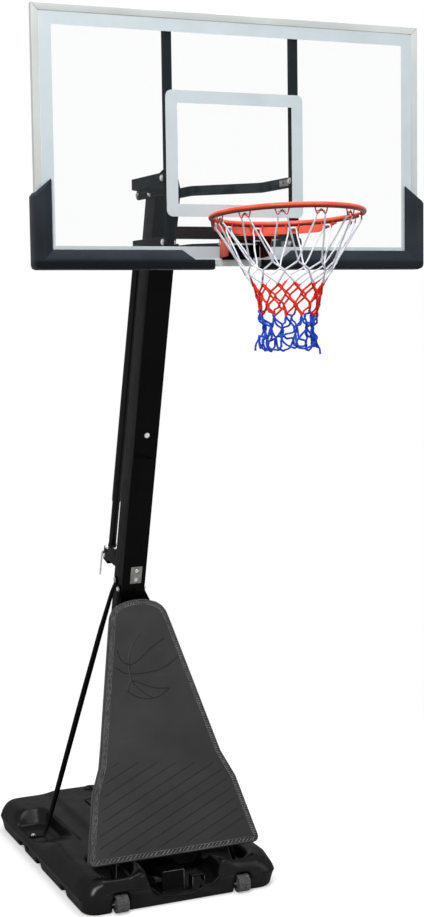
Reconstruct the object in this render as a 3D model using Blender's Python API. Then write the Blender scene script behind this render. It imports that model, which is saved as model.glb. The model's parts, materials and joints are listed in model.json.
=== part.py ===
"""Portable basketball stand with a crank-lifted backboard.

Metres. X runs right as seen from the front, the hoop points towards -Y, Z is up.
The origin is on the floor, under the middle of the ballast tank.
"""
import math

import bmesh
import bpy
from mathutils import Matrix, Vector

for item in list(bpy.data.objects):
    bpy.data.objects.remove(item, do_unlink=True)

# Clearances
gap = 0.0003
boltGap = 0.0003
mitreGap = 0.000225

# Ballast tank
tankWidth = 0.800
tankFront, tankRear = -0.582, 0.582
tankHeight = 0.145
tankCorner = 0.060
tankSeam = 0.0635
tankEdge = 0.132
plateauHalf, plateauSlope = 0.166, 0.026
sideWellX, sideWellY = 0.326, 0.200
sideWellSize = (0.118, 0.224)
sideWellTop = (0.166, 0.470)
sideWellTopX, sideWellTopY = 0.333, 0.136
frontWellX, frontWellY = 0.222, -0.405
frontWellSize = (0.130, 0.250)
wellFloor = 0.080
poleWellSize = (0.150, 0.180)
poleWellFloor = 0.045
scoopLeft, scoopRight = -0.128, 0.146
scoopBack, scoopBackFloor, scoopFrontFloor = -0.385, 0.080, 0.030
scoopBlockLeft, scoopBlockRight = -0.073, 0.016
scoopBlockBack, scoopBlockFront, scoopBlockTop = -0.420, -0.545, 0.120
sideNotches = (-0.335, -0.262), (-0.010, 0.062), (0.218, 0.300)
notchHeight = 0.034

# Transport wheels
wheelRadius = 0.0335
wheelWidth = 0.047
wheelX = 0.246
wheelY = -0.564
wheelRise = 0.0012
wheelGroove = 0.003
wheelChamfer = 0.004
wheelAxleRadius = 0.004
wheelSideRoom = 0.0075
wheelTopRoom = 0.007
wheelRearRoom = 0.008
axleGrip = 0.010

# Pole, a square tube that leans forward
poleWidth = 0.098
poleWall = 0.003
poleLean = math.radians(16.17)
poleFootY = 0.2817
poleFoot = 0.0655
poleJoint = 1.730
polePlug = 0.150
poleSwage = 0.010
poleTop = 2.776
capThickness = 0.006
jointBoltAlong = 1.8285
jointBoltRadius = 0.005
poleAxleRadius = 0.007
poleAxleAlong = 0.115
poleAxleReach = 0.022

# Struts
strutRadius = 0.0125
lugWidth = 0.030
lugThickness = 0.005
sideLug = (-0.030, 1.150)
frontLug = (-0.068, 1.118)
footLug = 0.070
footLift = 0.0005
strutBoltRadius = 0.005
footBoltRadius = 0.0045
footBoltDepth = 0.016
sideFootX, sideFootY = 0.308, 0.160
frontFootX, frontFootY = 0.252, -0.490

# Small plate on the pole's front
plateWidth, plateHeight, plateThickness = 0.047, 0.072, 0.002
plateAlong = 1.2385
plateX = 0.006
plateBoltSpacing = 0.038
plateBoltRadius = 0.004

# Front panel, a shallow tray that leans back against the front struts
panelSlope = math.radians(22.76)
panelFootY = -0.5843
panelDepth = 0.026
panelWall = 0.004
panelBottom = 0.170
clipAlong = 0.600
clipWall = 0.0045
clipHeight = 0.060

# Backboard
boardWidth = 1.370
boardHeight = 0.807
boardBottom = 2.3585
boardSetback = 0.033
sheetThickness = 0.005
railWidth = 0.023
railDepth = 0.022
railProud = 0.002
braceX = 0.2255
braceWidth = 0.026
braceDepth = 0.024
braceWall = 0.003
crossbarBottom, crossbarHeight, crossbarDepth = 2.4475, 0.040, 0.022
padReach = 0.0985
padWall = 0.012
padFront = 0.026
padBack = 0.024
padBand = 0.064
padBevel = 0.030
padRise = 0.284

# Lift arms: a parallelogram between the pole and the backboard
armPivotY = -0.500
upperPivotZ = 2.643
lowerPivotZ = 2.437
armLength = 0.599
armHeight = 0.035
armThickness = 0.008
armBendNear = 0.120
armBendFar = 0.310
upperTail = 0.143
tieSetback = 0.018
pivotRadius = 0.006
armBoltRadius = 0.005
tieRadius = 0.008
tieEndRadius = 0.005
tieHeadWidth = 0.005
leverHeight = 0.044
blockDepth = 0.022
blockHalf = 0.024

# Lift jack behind the pole
jackFoot = (0.159, 1.222)
jackHead = (-0.214, 2.431)
jackThinRadius = 0.0155
jackThickRadius = 0.0185
jackThinTop = 0.640
jackStep = 0.218
jackBoreEnd = 0.830
flangeRadius, flangeThickness = 0.030, 0.010
flangeAlong = 0.0300
gearboxWidth, gearboxDepth = 0.050, 0.052
gearboxBelow = 0.028
jackPinRadius = 0.004
jackPinHead = 0.008
jackPinHeadWidth = 0.004
bracketWall = 0.004
slotBehind, slotAhead = 0.0435, 0.0070
slotUp, slotDown = 0.0035, 0.0090
crankShaft, crankArm, crankRadius = 0.088, 0.112, 0.004
crankSwing = math.radians(17.8)

# Rim and net
rimRadius = 0.233
rimRod = 0.009
rimTilt = math.radians(3.86)
rimPinAhead, rimPinZ = 0.038, 2.430
rimBackset, rimRise = 0.1121, 0.0487
rimPinRadius = 0.004
carriageWidth, carriageWall = 0.150, 0.004
plateLap = 0.008
stripHeight, stripThickness = 0.024, 0.005
stripSweep = math.radians(68)
hookCount = 12
hookWire = 0.002
hookWidth, hookDrop, hookKink = 0.044, 0.020, 0.008
hookInset = 0.0075
hookRoot = 0.005
mountWidth, mountWall = 0.124, 0.005
mountBottom, mountTop, mountEar = 2.386, 2.4385, 0.044
netDrop = 0.393
netWire = 0.0044
netKnot = 0.0100
netInset = 0.0095
netShoulderRadius, netNeckRadius, netEndRadius = 0.137, 0.095, 0.092

# Derived places
poleHalf = poleWidth / 2
leanAxis = Vector((0, -math.sin(poleLean), math.cos(poleLean)))
leanBack = Vector((0, math.cos(poleLean), math.sin(poleLean)))
armNearX = poleHalf + 0.0013 + armThickness / 2
armFarX = braceX + braceWidth / 2 + gap + armThickness / 2
boardTop = boardBottom + boardHeight
boardHalf = boardWidth / 2
boardPivotY = armPivotY - armLength
boardFace = boardPivotY - boardSetback
rimPinY = boardFace - rimPinAhead
rimReach = rimRadius + rimBackset
wheelHousing = wheelWidth + 2 * wheelSideRoom
jackAxis = Vector((0, jackHead[0] - jackFoot[0], jackHead[1] - jackFoot[1]))
jackLength = jackAxis.length
jackAxis.normalize()
jackTilt = math.atan2(-jackAxis.y, jackAxis.z)

# Materials
coats = {
    "blackPlastic": ((0.030, 0.031, 0.034), 0.45, 0.0),
    "blackSteel": ((0.018, 0.018, 0.019), 0.35, 0.4),
    "jackBlack": ((0.020, 0.020, 0.022), 0.30, 0.5),
    "brownSteel": ((0.030, 0.018, 0.018), 0.45, 0.3),
    "panelGrey": ((0.045, 0.045, 0.047), 0.60, 0.0),
    "wheelGrey": ((0.120, 0.120, 0.120), 0.80, 0.0),
    "zinc": ((0.620, 0.630, 0.640), 0.35, 1.0),
    "zincDull": ((0.260, 0.260, 0.245), 0.55, 0.8),
    "aluminium": ((0.640, 0.680, 0.640), 0.40, 0.6),
    "clearSheet": ((0.900, 0.930, 0.950), 0.05, 0.0),
    "padBlack": ((0.022, 0.025, 0.031), 0.50, 0.0),
    "orangeSteel": ((0.760, 0.110, 0.060), 0.38, 0.1),
    "netCord": ((0.850, 0.870, 0.940), 0.80, 0.0),
}


def coat(name):
    made = bpy.data.materials.get(name)
    if made:
        return made
    colour, roughness, metallic = coats[name]
    made = bpy.data.materials.new(name)
    made.use_nodes = True
    shader = made.node_tree.nodes["Principled BSDF"]
    shader.inputs["Base Color"].default_value = (*colour, 1.0)
    shader.inputs["Roughness"].default_value = roughness
    shader.inputs["Metallic"].default_value = metallic
    if name == "clearSheet":
        shader.inputs["Alpha"].default_value = 0.3
    return made


def axisEmpty(name, place, parent=None):
    empty = bpy.data.objects.new(name, None)
    bpy.context.scene.collection.objects.link(empty)
    empty.location = Vector(place)
    if parent:
        empty.parent = parent
        empty.location = Vector(place) - parent.matrix_world.translation
    bpy.context.view_layer.update()
    return empty


def build(name, points, faces, coatName, location=(0, 0, 0), rotation=(0, 0, 0), parent=None, smooth=0):
    """A mesh object whose points are given in its own space, placed by location and rotation."""
    mesh = bpy.data.meshes.new(name)
    mesh.from_pydata([tuple(point) for point in points], [], faces)
    shape = bmesh.new()
    shape.from_mesh(mesh)
    bmesh.ops.recalc_face_normals(shape, faces=shape.faces)
    shape.to_mesh(mesh)
    shape.free()
    made = bpy.data.objects.new(name, mesh)
    bpy.context.scene.collection.objects.link(made)
    made.location = Vector(location)
    made.rotation_euler = rotation
    if parent:
        made.parent = parent
        made.location = Vector(location) - parent.matrix_world.translation
    if smooth:
        mesh.shade_smooth()
        mesh.set_sharp_from_angle(angle=math.radians(smooth))
    mesh.materials.append(coat(coatName))
    bpy.context.view_layer.update()
    return made


def carve(target, cutters, operation="DIFFERENCE"):
    """Cuts or joins the target with each cutter and removes the cutters."""
    for cutter in cutters:
        cutter.hide_render = True
        cutter.display_type = "WIRE"
        step = target.modifiers.new("carve", "BOOLEAN")
        step.operation = operation
        step.solver = "EXACT"
        step.object = cutter
    bpy.context.view_layer.update()
    graph = bpy.context.evaluated_depsgraph_get()
    done = bpy.data.meshes.new_from_object(target.evaluated_get(graph))
    target.modifiers.clear()
    old = target.data
    target.data = done
    done.name = old.name
    bpy.data.meshes.remove(old)
    for cutter in cutters:
        bpy.data.objects.remove(cutter, do_unlink=True)
    return target


def ringFaces(count, rings, closed=False, mirrored=False):
    """Sides between rings, with end caps; a mirrored outline is capped by strips across it."""
    faces = []
    if mirrored:
        for base in (0, (rings - 1) * count):
            faces += [[base + k, base + k + 1, base + count - 2 - k, base + count - 1 - k]
                      for k in range(count // 2 - 1)]
    elif not closed:
        faces += [list(range(count))[::-1], [(rings - 1) * count + k for k in range(count)]]
    for ring in range(rings if closed else rings - 1):
        near, far = ring * count, (ring + 1) % rings * count
        for k in range(count):
            after = (k + 1) % count
            faces.append([near + k, near + after, far + after, far + k])
    return faces


def loft(name, rings, coatName, closed=False, mirrored=False, **place):
    points = [point for ring in rings for point in ring]
    return build(name, points, ringFaces(len(rings[0]), len(rings), closed, mirrored), coatName, **place)


def prism(name, outline, low, high, axis, coatName="blackSteel", **place):
    """Extrudes a flat outline from low to high along X, Y or Z."""
    def lift(pair, along):
        first, second = pair
        return {"X": (along, first, second), "Y": (first, along, second), "Z": (first, second, along)}[axis]
    rings = [[lift(pair, along) for pair in outline] for along in (low, high)]
    return loft(name, rings, coatName, **place)


def block(name, low, high, coatName="blackSteel", **place):
    outline = [(low[0], low[1]), (high[0], low[1]), (high[0], high[1]), (low[0], high[1])]
    return prism(name, outline, low[2], high[2], "Z", coatName, **place)


def turned(name, profile, sides, coatName, closed=False, **place):
    """Turns (radius, along) stations about the object's own Z."""
    rings = [[(radius * math.cos(2 * math.pi * k / sides), radius * math.sin(2 * math.pi * k / sides), along)
              for k in range(sides)] for radius, along in profile]
    return loft(name, rings, coatName, closed=closed, **place)


def aim(direction):
    """Euler angles that turn Z to the given direction."""
    return Vector(direction).normalized().to_track_quat("Z", "Y").to_euler()


def bolt(name, start, end, radius, headStart=0.0, headEnd=0.0, coatName="zinc", parent=None, sides=12):
    """A pin from start to end with an optional head beyond each end."""
    start, end = Vector(start), Vector(end)
    length = (end - start).length
    tall = radius * 1.1
    wide = radius * 1.75
    profile = []
    if headStart:
        profile += [(wide * 0.85, -tall), (wide, -tall * 0.7), (wide, 0)]
    profile += [(radius, 0), (radius, length)]
    if headEnd:
        profile += [(wide, length), (wide, length + tall * 0.7), (wide * 0.85, length + tall)]
    return turned(name, profile, sides, coatName, location=start, rotation=aim(end - start),
                  parent=parent, smooth=40)


def bore(start, end, radius, sides=16):
    """A cutter for a round hole from start to end."""
    start, end = Vector(start), Vector(end)
    return turned("bore", [(radius, 0), (radius, (end - start).length)], sides, "blackSteel",
                  location=start, rotation=aim(end - start))


def roundedBox(halfX, halfY, radius, steps, centreX=0.0, centreY=0.0):
    outline = []
    for signX, signY, first in ((1, 1, 0), (-1, 1, 90), (-1, -1, 180), (1, -1, 270)):
        for k in range(steps + 1):
            turn = math.radians(first + 90 * k / steps)
            outline.append((centreX + signX * (halfX - radius) + radius * math.cos(turn),
                            centreY + signY * (halfY - radius) + radius * math.sin(turn)))
    return outline


def pocket(halfX, halfY, radius, centreX, centreY, low, high, draft):
    """A cutter with rounded corners that widens upwards."""
    rings = []
    for z, grow in ((low, 0.0), (high, draft)):
        rings.append([(x, y, z) for x, y in
                      roundedBox(halfX + grow, halfY + grow, radius + grow, 3, centreX, centreY)])
    return loft("pocket", rings, "blackSteel")


def leanPoint(along, back=0.0, x=0.0):
    """A point given along the pole's axis and behind it."""
    place = Vector((x, poleFootY, 0)) + leanAxis * along + leanBack * back
    return place


def sweep(name, stations, coatName, sides=12, width=(0, 1, 0), **place):
    """A tube through (point, half width, half thickness) stations."""
    width = Vector(width)
    points = [Vector(station[0]) for station in stations]
    rings = []
    for k, (point, halfWidth, halfThick) in enumerate(stations):
        before = points[max(k - 1, 0)]
        after = points[min(k + 1, len(points) - 1)]
        inward = (points[k] - before).normalized() if k else Vector((0, 0, 0))
        outward = (after - points[k]).normalized() if k < len(points) - 1 else Vector((0, 0, 0))
        along = (inward + outward).normalized()
        wide = (width - along * width.dot(along)).normalized()
        thick = along.cross(wide)
        stretch = 1.0
        if k and k < len(points) - 1:
            stretch = 1.0 / max(math.cos(inward.angle(outward) / 2), 0.5)
        turns = [2 * math.pi * n / sides for n in range(sides)]
        tall = halfThick * stretch
        rings.append([points[k] + wide * halfWidth * math.cos(turn) + thick * tall * math.sin(turn)
                      for turn in turns])
    return loft(name, rings, coatName, **place)


# Ballast tank: levels as (height, inset from the lip)
tankLevels = [(0.0, 0.022), (0.006, 0.016), (tankSeam - 0.006, 0.005), (tankSeam - 0.003, 0.0),
              (tankSeam + 0.001, 0.0), (tankSeam + 0.004, 0.005), (0.098, 0.010), (0.114, 0.016),
              (0.124, 0.023), (tankEdge, 0.032), (0.139, 0.038), (tankHeight, 0.046)]
tankMiddle = (tankFront + tankRear) / 2
tankRings = []
for level, inset in tankLevels:
    tankRings.append([(x, y, level) for x, y in
                      roundedBox(tankWidth / 2 - inset, (tankRear - tankFront) / 2 - inset,
                                 tankCorner - inset * 0.3, 6, 0.0, tankMiddle)])
tank = loft("ballast_tank", tankRings, "blackPlastic", smooth=35)
cuts = []
above = tankHeight + 0.02
for side in (-1, 1):
    step = [(side * plateauHalf, tankHeight + 0.001), (side * (plateauHalf + plateauSlope), tankEdge),
            (side * tankWidth, tankEdge), (side * tankWidth, above), (side * plateauHalf, above)]
    cuts.append(prism("pocket", step, tankFront - 0.1, tankRear + 0.1, "Y"))
    lowRing = roundedBox(sideWellSize[0] / 2, sideWellSize[1] / 2, 0.040, 4, side * sideWellX, sideWellY)
    highRing = roundedBox(sideWellTop[0] / 2, sideWellTop[1] / 2, 0.050, 4, side * sideWellTopX, sideWellTopY)
    cuts.append(loft("pocket", [[(x, y, wellFloor) for x, y in lowRing],
                                [(x, y, tankEdge + 0.004) for x, y in highRing]], "blackPlastic"))
    cuts.append(pocket(frontWellSize[0] / 2, frontWellSize[1] / 2, 0.045, side * frontWellX, frontWellY,
                       wellFloor, above, 0.022))
    cuts.append(block("pocket", (side * wheelX - wheelHousing / 2, tankFront - 0.1, -0.01),
                      (side * wheelX + wheelHousing / 2, wheelY + wheelRadius + wheelRearRoom,
                       wheelRise + 2 * wheelRadius + wheelTopRoom)))
    for first, last in sideNotches:
        notch = [(first, -0.01), (last, -0.01), (last - 0.014, notchHeight), (first + 0.004, notchHeight)]
        cuts.append(prism("pocket", notch, side * (tankWidth / 2 - 0.09), side * (tankWidth / 2 + 0.02), "X"))
    reach = wheelHousing / 2 + axleGrip + 0.002
    cuts.append(bore((side * wheelX - reach, wheelY, wheelRise + wheelRadius),
                     (side * wheelX + reach, wheelY, wheelRise + wheelRadius), wheelAxleRadius + gap))
    bolted = Vector((side * (sideFootX + footLug * 0.78), sideFootY, wellFloor))
    cuts.append(bore(bolted - Vector((0, 0, footBoltDepth + gap)), bolted + Vector((0, 0, 0.01)),
                     footBoltRadius + gap, 12))
cuts.append(pocket(poleWellSize[0] / 2, poleWellSize[1] / 2, 0.015, 0.0, leanPoint(0.10).y,
                   poleWellFloor, above, 0.008))
rings = []
for y, floor in ((tankFront - 0.1, scoopFrontFloor - 0.025), (tankFront, scoopFrontFloor),
                 (scoopBack - 0.020, scoopBackFloor)):
    rings.append([(scoopLeft + 0.030, y, floor), (scoopRight - 0.030, y, floor),
                  (scoopRight - 0.004, y, floor + 0.030), (scoopRight + 0.016, y, above + 0.001),
                  (scoopLeft - 0.016, y, above + 0.001), (scoopLeft + 0.004, y, floor + 0.030)])
rings.append([(x, scoopBack, max(z, above - 0.003)) for x, y, z in rings[-1]])
cuts.append(loft("pocket", rings, "blackPlastic"))
axleReach = poleWellSize[0] / 2 + poleAxleReach
axlePlace = leanPoint(poleAxleAlong)
cuts.append(bore((-axleReach, axlePlace.y, axlePlace.z), (axleReach, axlePlace.y, axlePlace.z),
                 poleAxleRadius + gap))
carve(tank, cuts)
scoopOutline = [(scoopBlockFront, 0.020), (scoopBlockBack, 0.020), (scoopBlockBack, scoopBlockTop),
                (scoopBlockFront + 0.012, scoopBlockTop), (scoopBlockFront, scoopBlockTop - 0.012)]
scoopBlock = prism("scoopBlock", scoopOutline, scoopBlockLeft, scoopBlockRight, "X")
carve(tank, [scoopBlock], "UNION")

# Transport wheels on their axles
for label, side in (("left", -1), ("right", 1)):
    hub = (side * wheelX, wheelY, wheelRise + wheelRadius)
    half = wheelWidth / 2
    hole = wheelAxleRadius + boltGap
    profile = [(hole, -half), (wheelRadius - wheelChamfer, -half), (wheelRadius, -half + wheelChamfer)]
    for groove in (-half / 3, half / 3):
        profile += [(wheelRadius, groove - 0.002), (wheelRadius - wheelGroove, groove - 0.001),
                    (wheelRadius - wheelGroove, groove + 0.001), (wheelRadius, groove + 0.002)]
    profile += [(wheelRadius, half - wheelChamfer), (wheelRadius - wheelChamfer, half), (hole, half)]
    spin = axisEmpty("wheel_axis_" + label, hub)
    turned("wheel_" + label, profile, 28, "wheelGrey", closed=True, location=hub,
           rotation=(0, math.radians(90), 0), parent=spin, smooth=40)
    reach = wheelHousing / 2 + axleGrip
    bolt("wheel_axle_" + label, (hub[0] - reach, hub[1], hub[2]), (hub[0] + reach, hub[1], hub[2]),
         wheelAxleRadius, coatName="zincDull")

# Pole sections, built along their own Z and leaned into place
lean = (poleLean, 0, 0)
poleSpot = (0, poleFootY, 0)


def squareRing(half, along):
    return [(-half, -half, along), (half, -half, along), (half, half, along), (-half, half, along)]


plugHalf = poleHalf - poleWall - gap
poleLower = loft("pole_lower", [squareRing(poleHalf, poleFoot), squareRing(poleHalf, poleJoint),
                                squareRing(plugHalf, poleJoint), squareRing(plugHalf, poleJoint + polePlug),
                                squareRing(plugHalf - poleWall, poleJoint + polePlug),
                                squareRing(plugHalf - poleWall, poleJoint - poleSwage),
                                squareRing(poleHalf - poleWall, poleJoint - 2 * poleSwage),
                                squareRing(poleHalf - poleWall, poleFoot)],
                 "blackSteel", closed=True, location=poleSpot, rotation=lean)
poleUpper = loft("pole_upper", [squareRing(poleHalf, poleJoint + gap), squareRing(poleHalf, poleTop),
                                squareRing(poleHalf - poleWall, poleTop),
                                squareRing(poleHalf - poleWall, poleJoint + gap)],
                 "blackSteel", closed=True, location=poleSpot, rotation=lean)
capPlug = 0.008
loft("pole_cap", [squareRing(poleHalf - poleWall - gap, poleTop + gap - capPlug),
                  squareRing(poleHalf - poleWall - gap, poleTop + gap),
                  squareRing(poleHalf, poleTop + gap),
                  squareRing(poleHalf, poleTop + gap + capThickness * 0.6),
                  squareRing(poleHalf - 0.006, poleTop + gap + capThickness)],
     "blackPlastic", location=poleSpot, rotation=lean)
jointEnds = (leanPoint(jointBoltAlong, -poleHalf - gap), leanPoint(jointBoltAlong, poleHalf + gap))
bolt("pole_joint_bolt", *jointEnds, jointBoltRadius, 1, 1)
throughJoint = (leanPoint(jointBoltAlong, -poleHalf - 0.02), leanPoint(jointBoltAlong, poleHalf + 0.02))
upperPivot = Vector((0, armPivotY, upperPivotZ))
lowerPivot = Vector((0, armPivotY, lowerPivotZ))
across = Vector((0.2, 0, 0))
carve(poleUpper, [bore(*throughJoint, jointBoltRadius + boltGap),
                  bore(upperPivot - across, upperPivot + across, pivotRadius + boltGap)])
sideBolt = Vector((0, *sideLug))
frontBolt = Vector((0, *frontLug))
lowerCuts = [bore(*throughJoint, jointBoltRadius + boltGap),
             bore(axlePlace - across, axlePlace + across, poleAxleRadius + boltGap),
             bore(sideBolt - across, sideBolt + across, strutBoltRadius + boltGap),
             bore(frontBolt - across, frontBolt + across, strutBoltRadius + boltGap)]
plateBoltSpots = [plateAlong - plateBoltSpacing / 2, plateAlong + plateBoltSpacing / 2]
for spot in plateBoltSpots:
    lowerCuts.append(bore(leanPoint(spot, -poleHalf - 0.02, plateX),
                          leanPoint(spot, -poleHalf + 0.02, plateX), plateBoltRadius + boltGap, 12))
carve(poleLower, lowerCuts)
axleSide = Vector((axleReach - 0.002, 0, 0))
bolt("pole_axle", axlePlace - axleSide, axlePlace + axleSide, poleAxleRadius, coatName="zincDull")

# Small plate and its two bolts on the pole's front
plateFront = -poleHalf - gap - plateThickness
plate = block("pole_plate", (plateX - plateWidth / 2, plateFront, plateAlong - plateHeight / 2),
              (plateX + plateWidth / 2, -poleHalf - gap, plateAlong + plateHeight / 2), "zincDull",
              location=poleSpot, rotation=lean)
carve(plate, [bore(leanPoint(spot, plateFront - 0.01, plateX), leanPoint(spot, -poleHalf + 0.01, plateX),
                   plateBoltRadius + boltGap, 12) for spot in plateBoltSpots])
for label, spot in (("lower", plateBoltSpots[0]), ("upper", plateBoltSpots[1])):
    bolt("plate_bolt_" + label, leanPoint(spot, plateFront - gap, plateX),
         leanPoint(spot, -poleHalf + 0.010, plateX), plateBoltRadius, 1)

# Struts: flattened lugs bolted to the pole, round tubes, flattened feet in the tank's wells
lugFace = poleHalf + gap
lugX = lugFace + lugThickness / 2
footLevel = wellFloor + gap + footLift + lugThickness / 2


def strutLine(side, lug, footX, footY):
    """Both ends of a strut's round part."""
    top = Vector((side * lugX, *lug))
    foot = Vector((side * footX, footY, footLevel + strutRadius))
    run = (foot - top).normalized()
    return top + run * 0.050 + Vector((side * 0.006, 0, 0)), foot - run * 0.050


def strut(name, side, lug, footX, footY, outward):
    top = Vector((side * lugX, *lug))
    foot = Vector((side * footX, footY, footLevel + strutRadius))
    run = (foot - top).normalized()
    half, thin = lugWidth / 2, lugThickness / 2
    upperEnd, lowerEnd = strutLine(side, lug, footX, footY)
    stations = [(top + Vector((0, 0, half)), half * 0.45, thin),
                (top + Vector((0, 0, half * 0.75)), half * 0.8, thin),
                (top + Vector((0, 0, half * 0.2)), half, thin), (top - Vector((0, 0, half * 0.9)), half, thin),
                (upperEnd, strutRadius, strutRadius), (lowerEnd, strutRadius, strutRadius),
                (foot - run * 0.016 - Vector((0, 0, 0.004)), half, thin * 1.4),
                (Vector((side * (footX + outward * 0.006), footY, footLevel)), half, thin),
                (Vector((side * (footX + outward * footLug * 0.85), footY, footLevel)), half, thin),
                (Vector((side * (footX + outward * footLug), footY, footLevel)), half * 0.6, thin)]
    return sweep(name, stations, "blackSteel", smooth=40)


strutParts = {}
for label, side in (("left", -1), ("right", 1)):
    part = strut("strut_side_" + label, side, sideLug, sideFootX, sideFootY, 1)
    spot = Vector((side * (sideFootX + footLug * 0.78), sideFootY, footLevel))
    rise = Vector((0, 0, 0.02))
    carve(part, [bore(sideBolt - across, sideBolt + across, strutBoltRadius + boltGap),
                 bore(spot - rise, spot + rise, footBoltRadius + boltGap, 12)])
    strutParts[label] = strut("strut_front_" + label, side, frontLug, frontFootX, frontFootY, -1)
    carve(strutParts[label], [bore(frontBolt - across, frontBolt + across, strutBoltRadius + boltGap)])
    deep = Vector((0, 0, footBoltDepth + lugThickness / 2))
    bolt("foot_bolt_" + label, spot + Vector((0, 0, lugThickness / 2 + gap)), spot - deep, footBoltRadius, 1)
lugOuter = lugFace + lugThickness + gap
for label, place in (("side", sideBolt), ("front", frontBolt)):
    reach = Vector((lugOuter, 0, 0))
    bolt("strut_bolt_" + label, place - reach, place + reach, strutBoltRadius, 1, 1)

# Front panel: outline in the panel's own plane, as half widths from the bottom up
panelLength = [(0.168, 0.328), (0.172, 0.338), (0.184, 0.345), (0.200, 0.344), (0.330, 0.316), (0.410, 0.293),
               (0.438, 0.283), (0.473, 0.261), (0.503, 0.249), (0.705, 0.201), (0.905, 0.152), (0.985, 0.130),
               (1.030, 0.118), (1.052, 0.104), (1.068, 0.082), (1.078, 0.050), (1.083, 0.018)]
cosPanel = math.cos(panelSlope)


def panelRing(depth, inset):
    """Outline at a depth behind the front face, pulled in by inset."""
    rows = []
    outline = [(wide, height / cosPanel) for height, wide in panelLength]
    outline += [(-wide, along) for wide, along in outline[::-1]]
    middle = 0.62
    total = len(outline)
    for k, (x, along) in enumerate(outline):
        px, pa = outline[k - 1]
        nx, na = outline[(k + 1) % total]
        tangent = Vector((nx - px, na - pa)).normalized()
        normal = Vector((-tangent.y, tangent.x))
        if normal.dot(Vector((-x, middle - along))) < 0:
            normal = -normal
        rows.append((x + normal.x * inset, along + normal.y * inset, depth))
    return rows


def fromPanel(point):
    x, along, depth = point
    return Vector((x, panelFootY + along * math.sin(panelSlope) + depth * math.cos(panelSlope),
                   along * cosPanel - depth * math.sin(panelSlope)))


panelRings = [panelRing(panelWall, panelWall), panelRing(panelDepth, panelWall), panelRing(panelDepth, 0.0),
              panelRing(0.006, 0.0), panelRing(0.0, 0.006)]
panel = loft("front_panel", [[fromPanel(point) for point in ring] for ring in panelRings], "panelGrey",
             mirrored=True, smooth=35)

# Clips that hold the panel to the front struts
for label, side in (("left", -1), ("right", 1)):
    upperEnd, lowerEnd = strutLine(side, frontLug, frontFootX, frontFootY)
    run = (lowerEnd - upperEnd).normalized()
    level = clipAlong
    centre = upperEnd + (lowerEnd - upperEnd) * ((level - upperEnd.z) / (lowerEnd.z - upperEnd.z))
    panelBack = panelFootY + level * math.tan(panelSlope) + panelWall / cosPanel + gap
    half = strutRadius + clipWall
    slant = math.tan(panelSlope)
    tall = clipHeight / 2
    outline = [(panelBack - tall * slant, level - tall), (panelBack + tall * slant, level + tall),
               (centre.y + tall * slant + 0.004, level + tall), (centre.y - tall * slant + 0.004, level - tall)]
    clip = prism("panel_clip_" + label, outline, centre.x - half, centre.x + half, "X", "blackPlastic")
    held = strutRadius / math.cos(math.pi / 16) + gap * 2
    carve(clip, [bore(centre - run * 0.08, centre + run * 0.08, held)])

# Block on the pole's front that carries the lower arms
poleFrontAt = (lambda z: poleFootY - poleHalf / math.cos(poleLean) - z * math.tan(poleLean))
blockOutline = []
for k in range(9):
    turn = math.radians(90 + 180 * k / 8)
    blockOutline.append((armPivotY + blockDepth * math.cos(turn) * 0.9,
                         lowerPivotZ + blockHalf * math.sin(turn)))
blockOutline += [(poleFrontAt(lowerPivotZ - blockHalf) - gap, lowerPivotZ - blockHalf),
                 (poleFrontAt(lowerPivotZ + blockHalf) - gap, lowerPivotZ + blockHalf)]
armBlock = prism("lower_arm_block", blockOutline, -poleHalf, poleHalf, "X")
carve(armBlock, [bore(lowerPivot - across, lowerPivot + across, pivotRadius + boltGap)])
pivotReach = Vector((armNearX + armThickness / 2 + gap, 0, 0))
bolt("pivot_bolt_upper", upperPivot - pivotReach, upperPivot + pivotReach, pivotRadius, 1, 1)
bolt("pivot_bolt_lower", lowerPivot - pivotReach, lowerPivot + pivotReach, pivotRadius, 1, 1)

# Lift arms
upperAxis = axisEmpty("upper_arm_axis", upperPivot)
lowerAxis = axisEmpty("lower_arm_axis", lowerPivot)
nearY = armPivotY - armBendNear
farY = armPivotY - armBendFar
tipRadius = armHeight / 2
tipY = boardPivotY - tipRadius


def armRings(side, level, tailY, tailHeight):
    """Rectangular sections along a bent bar, with rounded ends in side view."""
    nearX, farX = side * armNearX, side * armFarX
    sections = []
    tailRadius = tailHeight / 2
    for share in (1.0, 0.7, 0.35):
        height = tailRadius * math.sqrt(1 - share * share) if share < 1 else tailRadius * 0.25
        sections.append((nearX, tailY - tailRadius * (1 - share), height))
    sections.append((nearX, tailY - tailRadius, tailRadius))
    if tailHeight > armHeight:
        sections.append((nearX, armPivotY + 0.100, tailRadius))
        sections.append((nearX, armPivotY + 0.070, armHeight / 2))
    sections += [(nearX, nearY, armHeight / 2), (farX, farY, armHeight / 2),
                 (farX, boardPivotY, armHeight / 2)]
    for share in (0.35, 0.7, 1.0):
        height = tipRadius * math.sqrt(1 - share * share) if share < 1 else tipRadius * 0.25
        sections.append((farX, boardPivotY - tipRadius * share, height))
    rings = []
    half = armThickness / 2
    for k, (x, y, height) in enumerate(sections):
        before = Vector(sections[max(k - 1, 0)][:2])
        after = Vector(sections[min(k + 1, len(sections) - 1)][:2])
        here = Vector((x, y))
        inward = (here - before).normalized() if k else (after - here).normalized()
        outward = (after - here).normalized() if k < len(sections) - 1 else inward
        along = (inward + outward).normalized()
        normal = Vector((-along.y, along.x)) * half / max(along.dot(inward), 0.5)
        low, high = level - height, level + height
        rings.append([(x + normal.x, y + normal.y, low), (x - normal.x, y - normal.y, low),
                      (x - normal.x, y - normal.y, high), (x + normal.x, y + normal.y, high)])
    return rings


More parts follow.
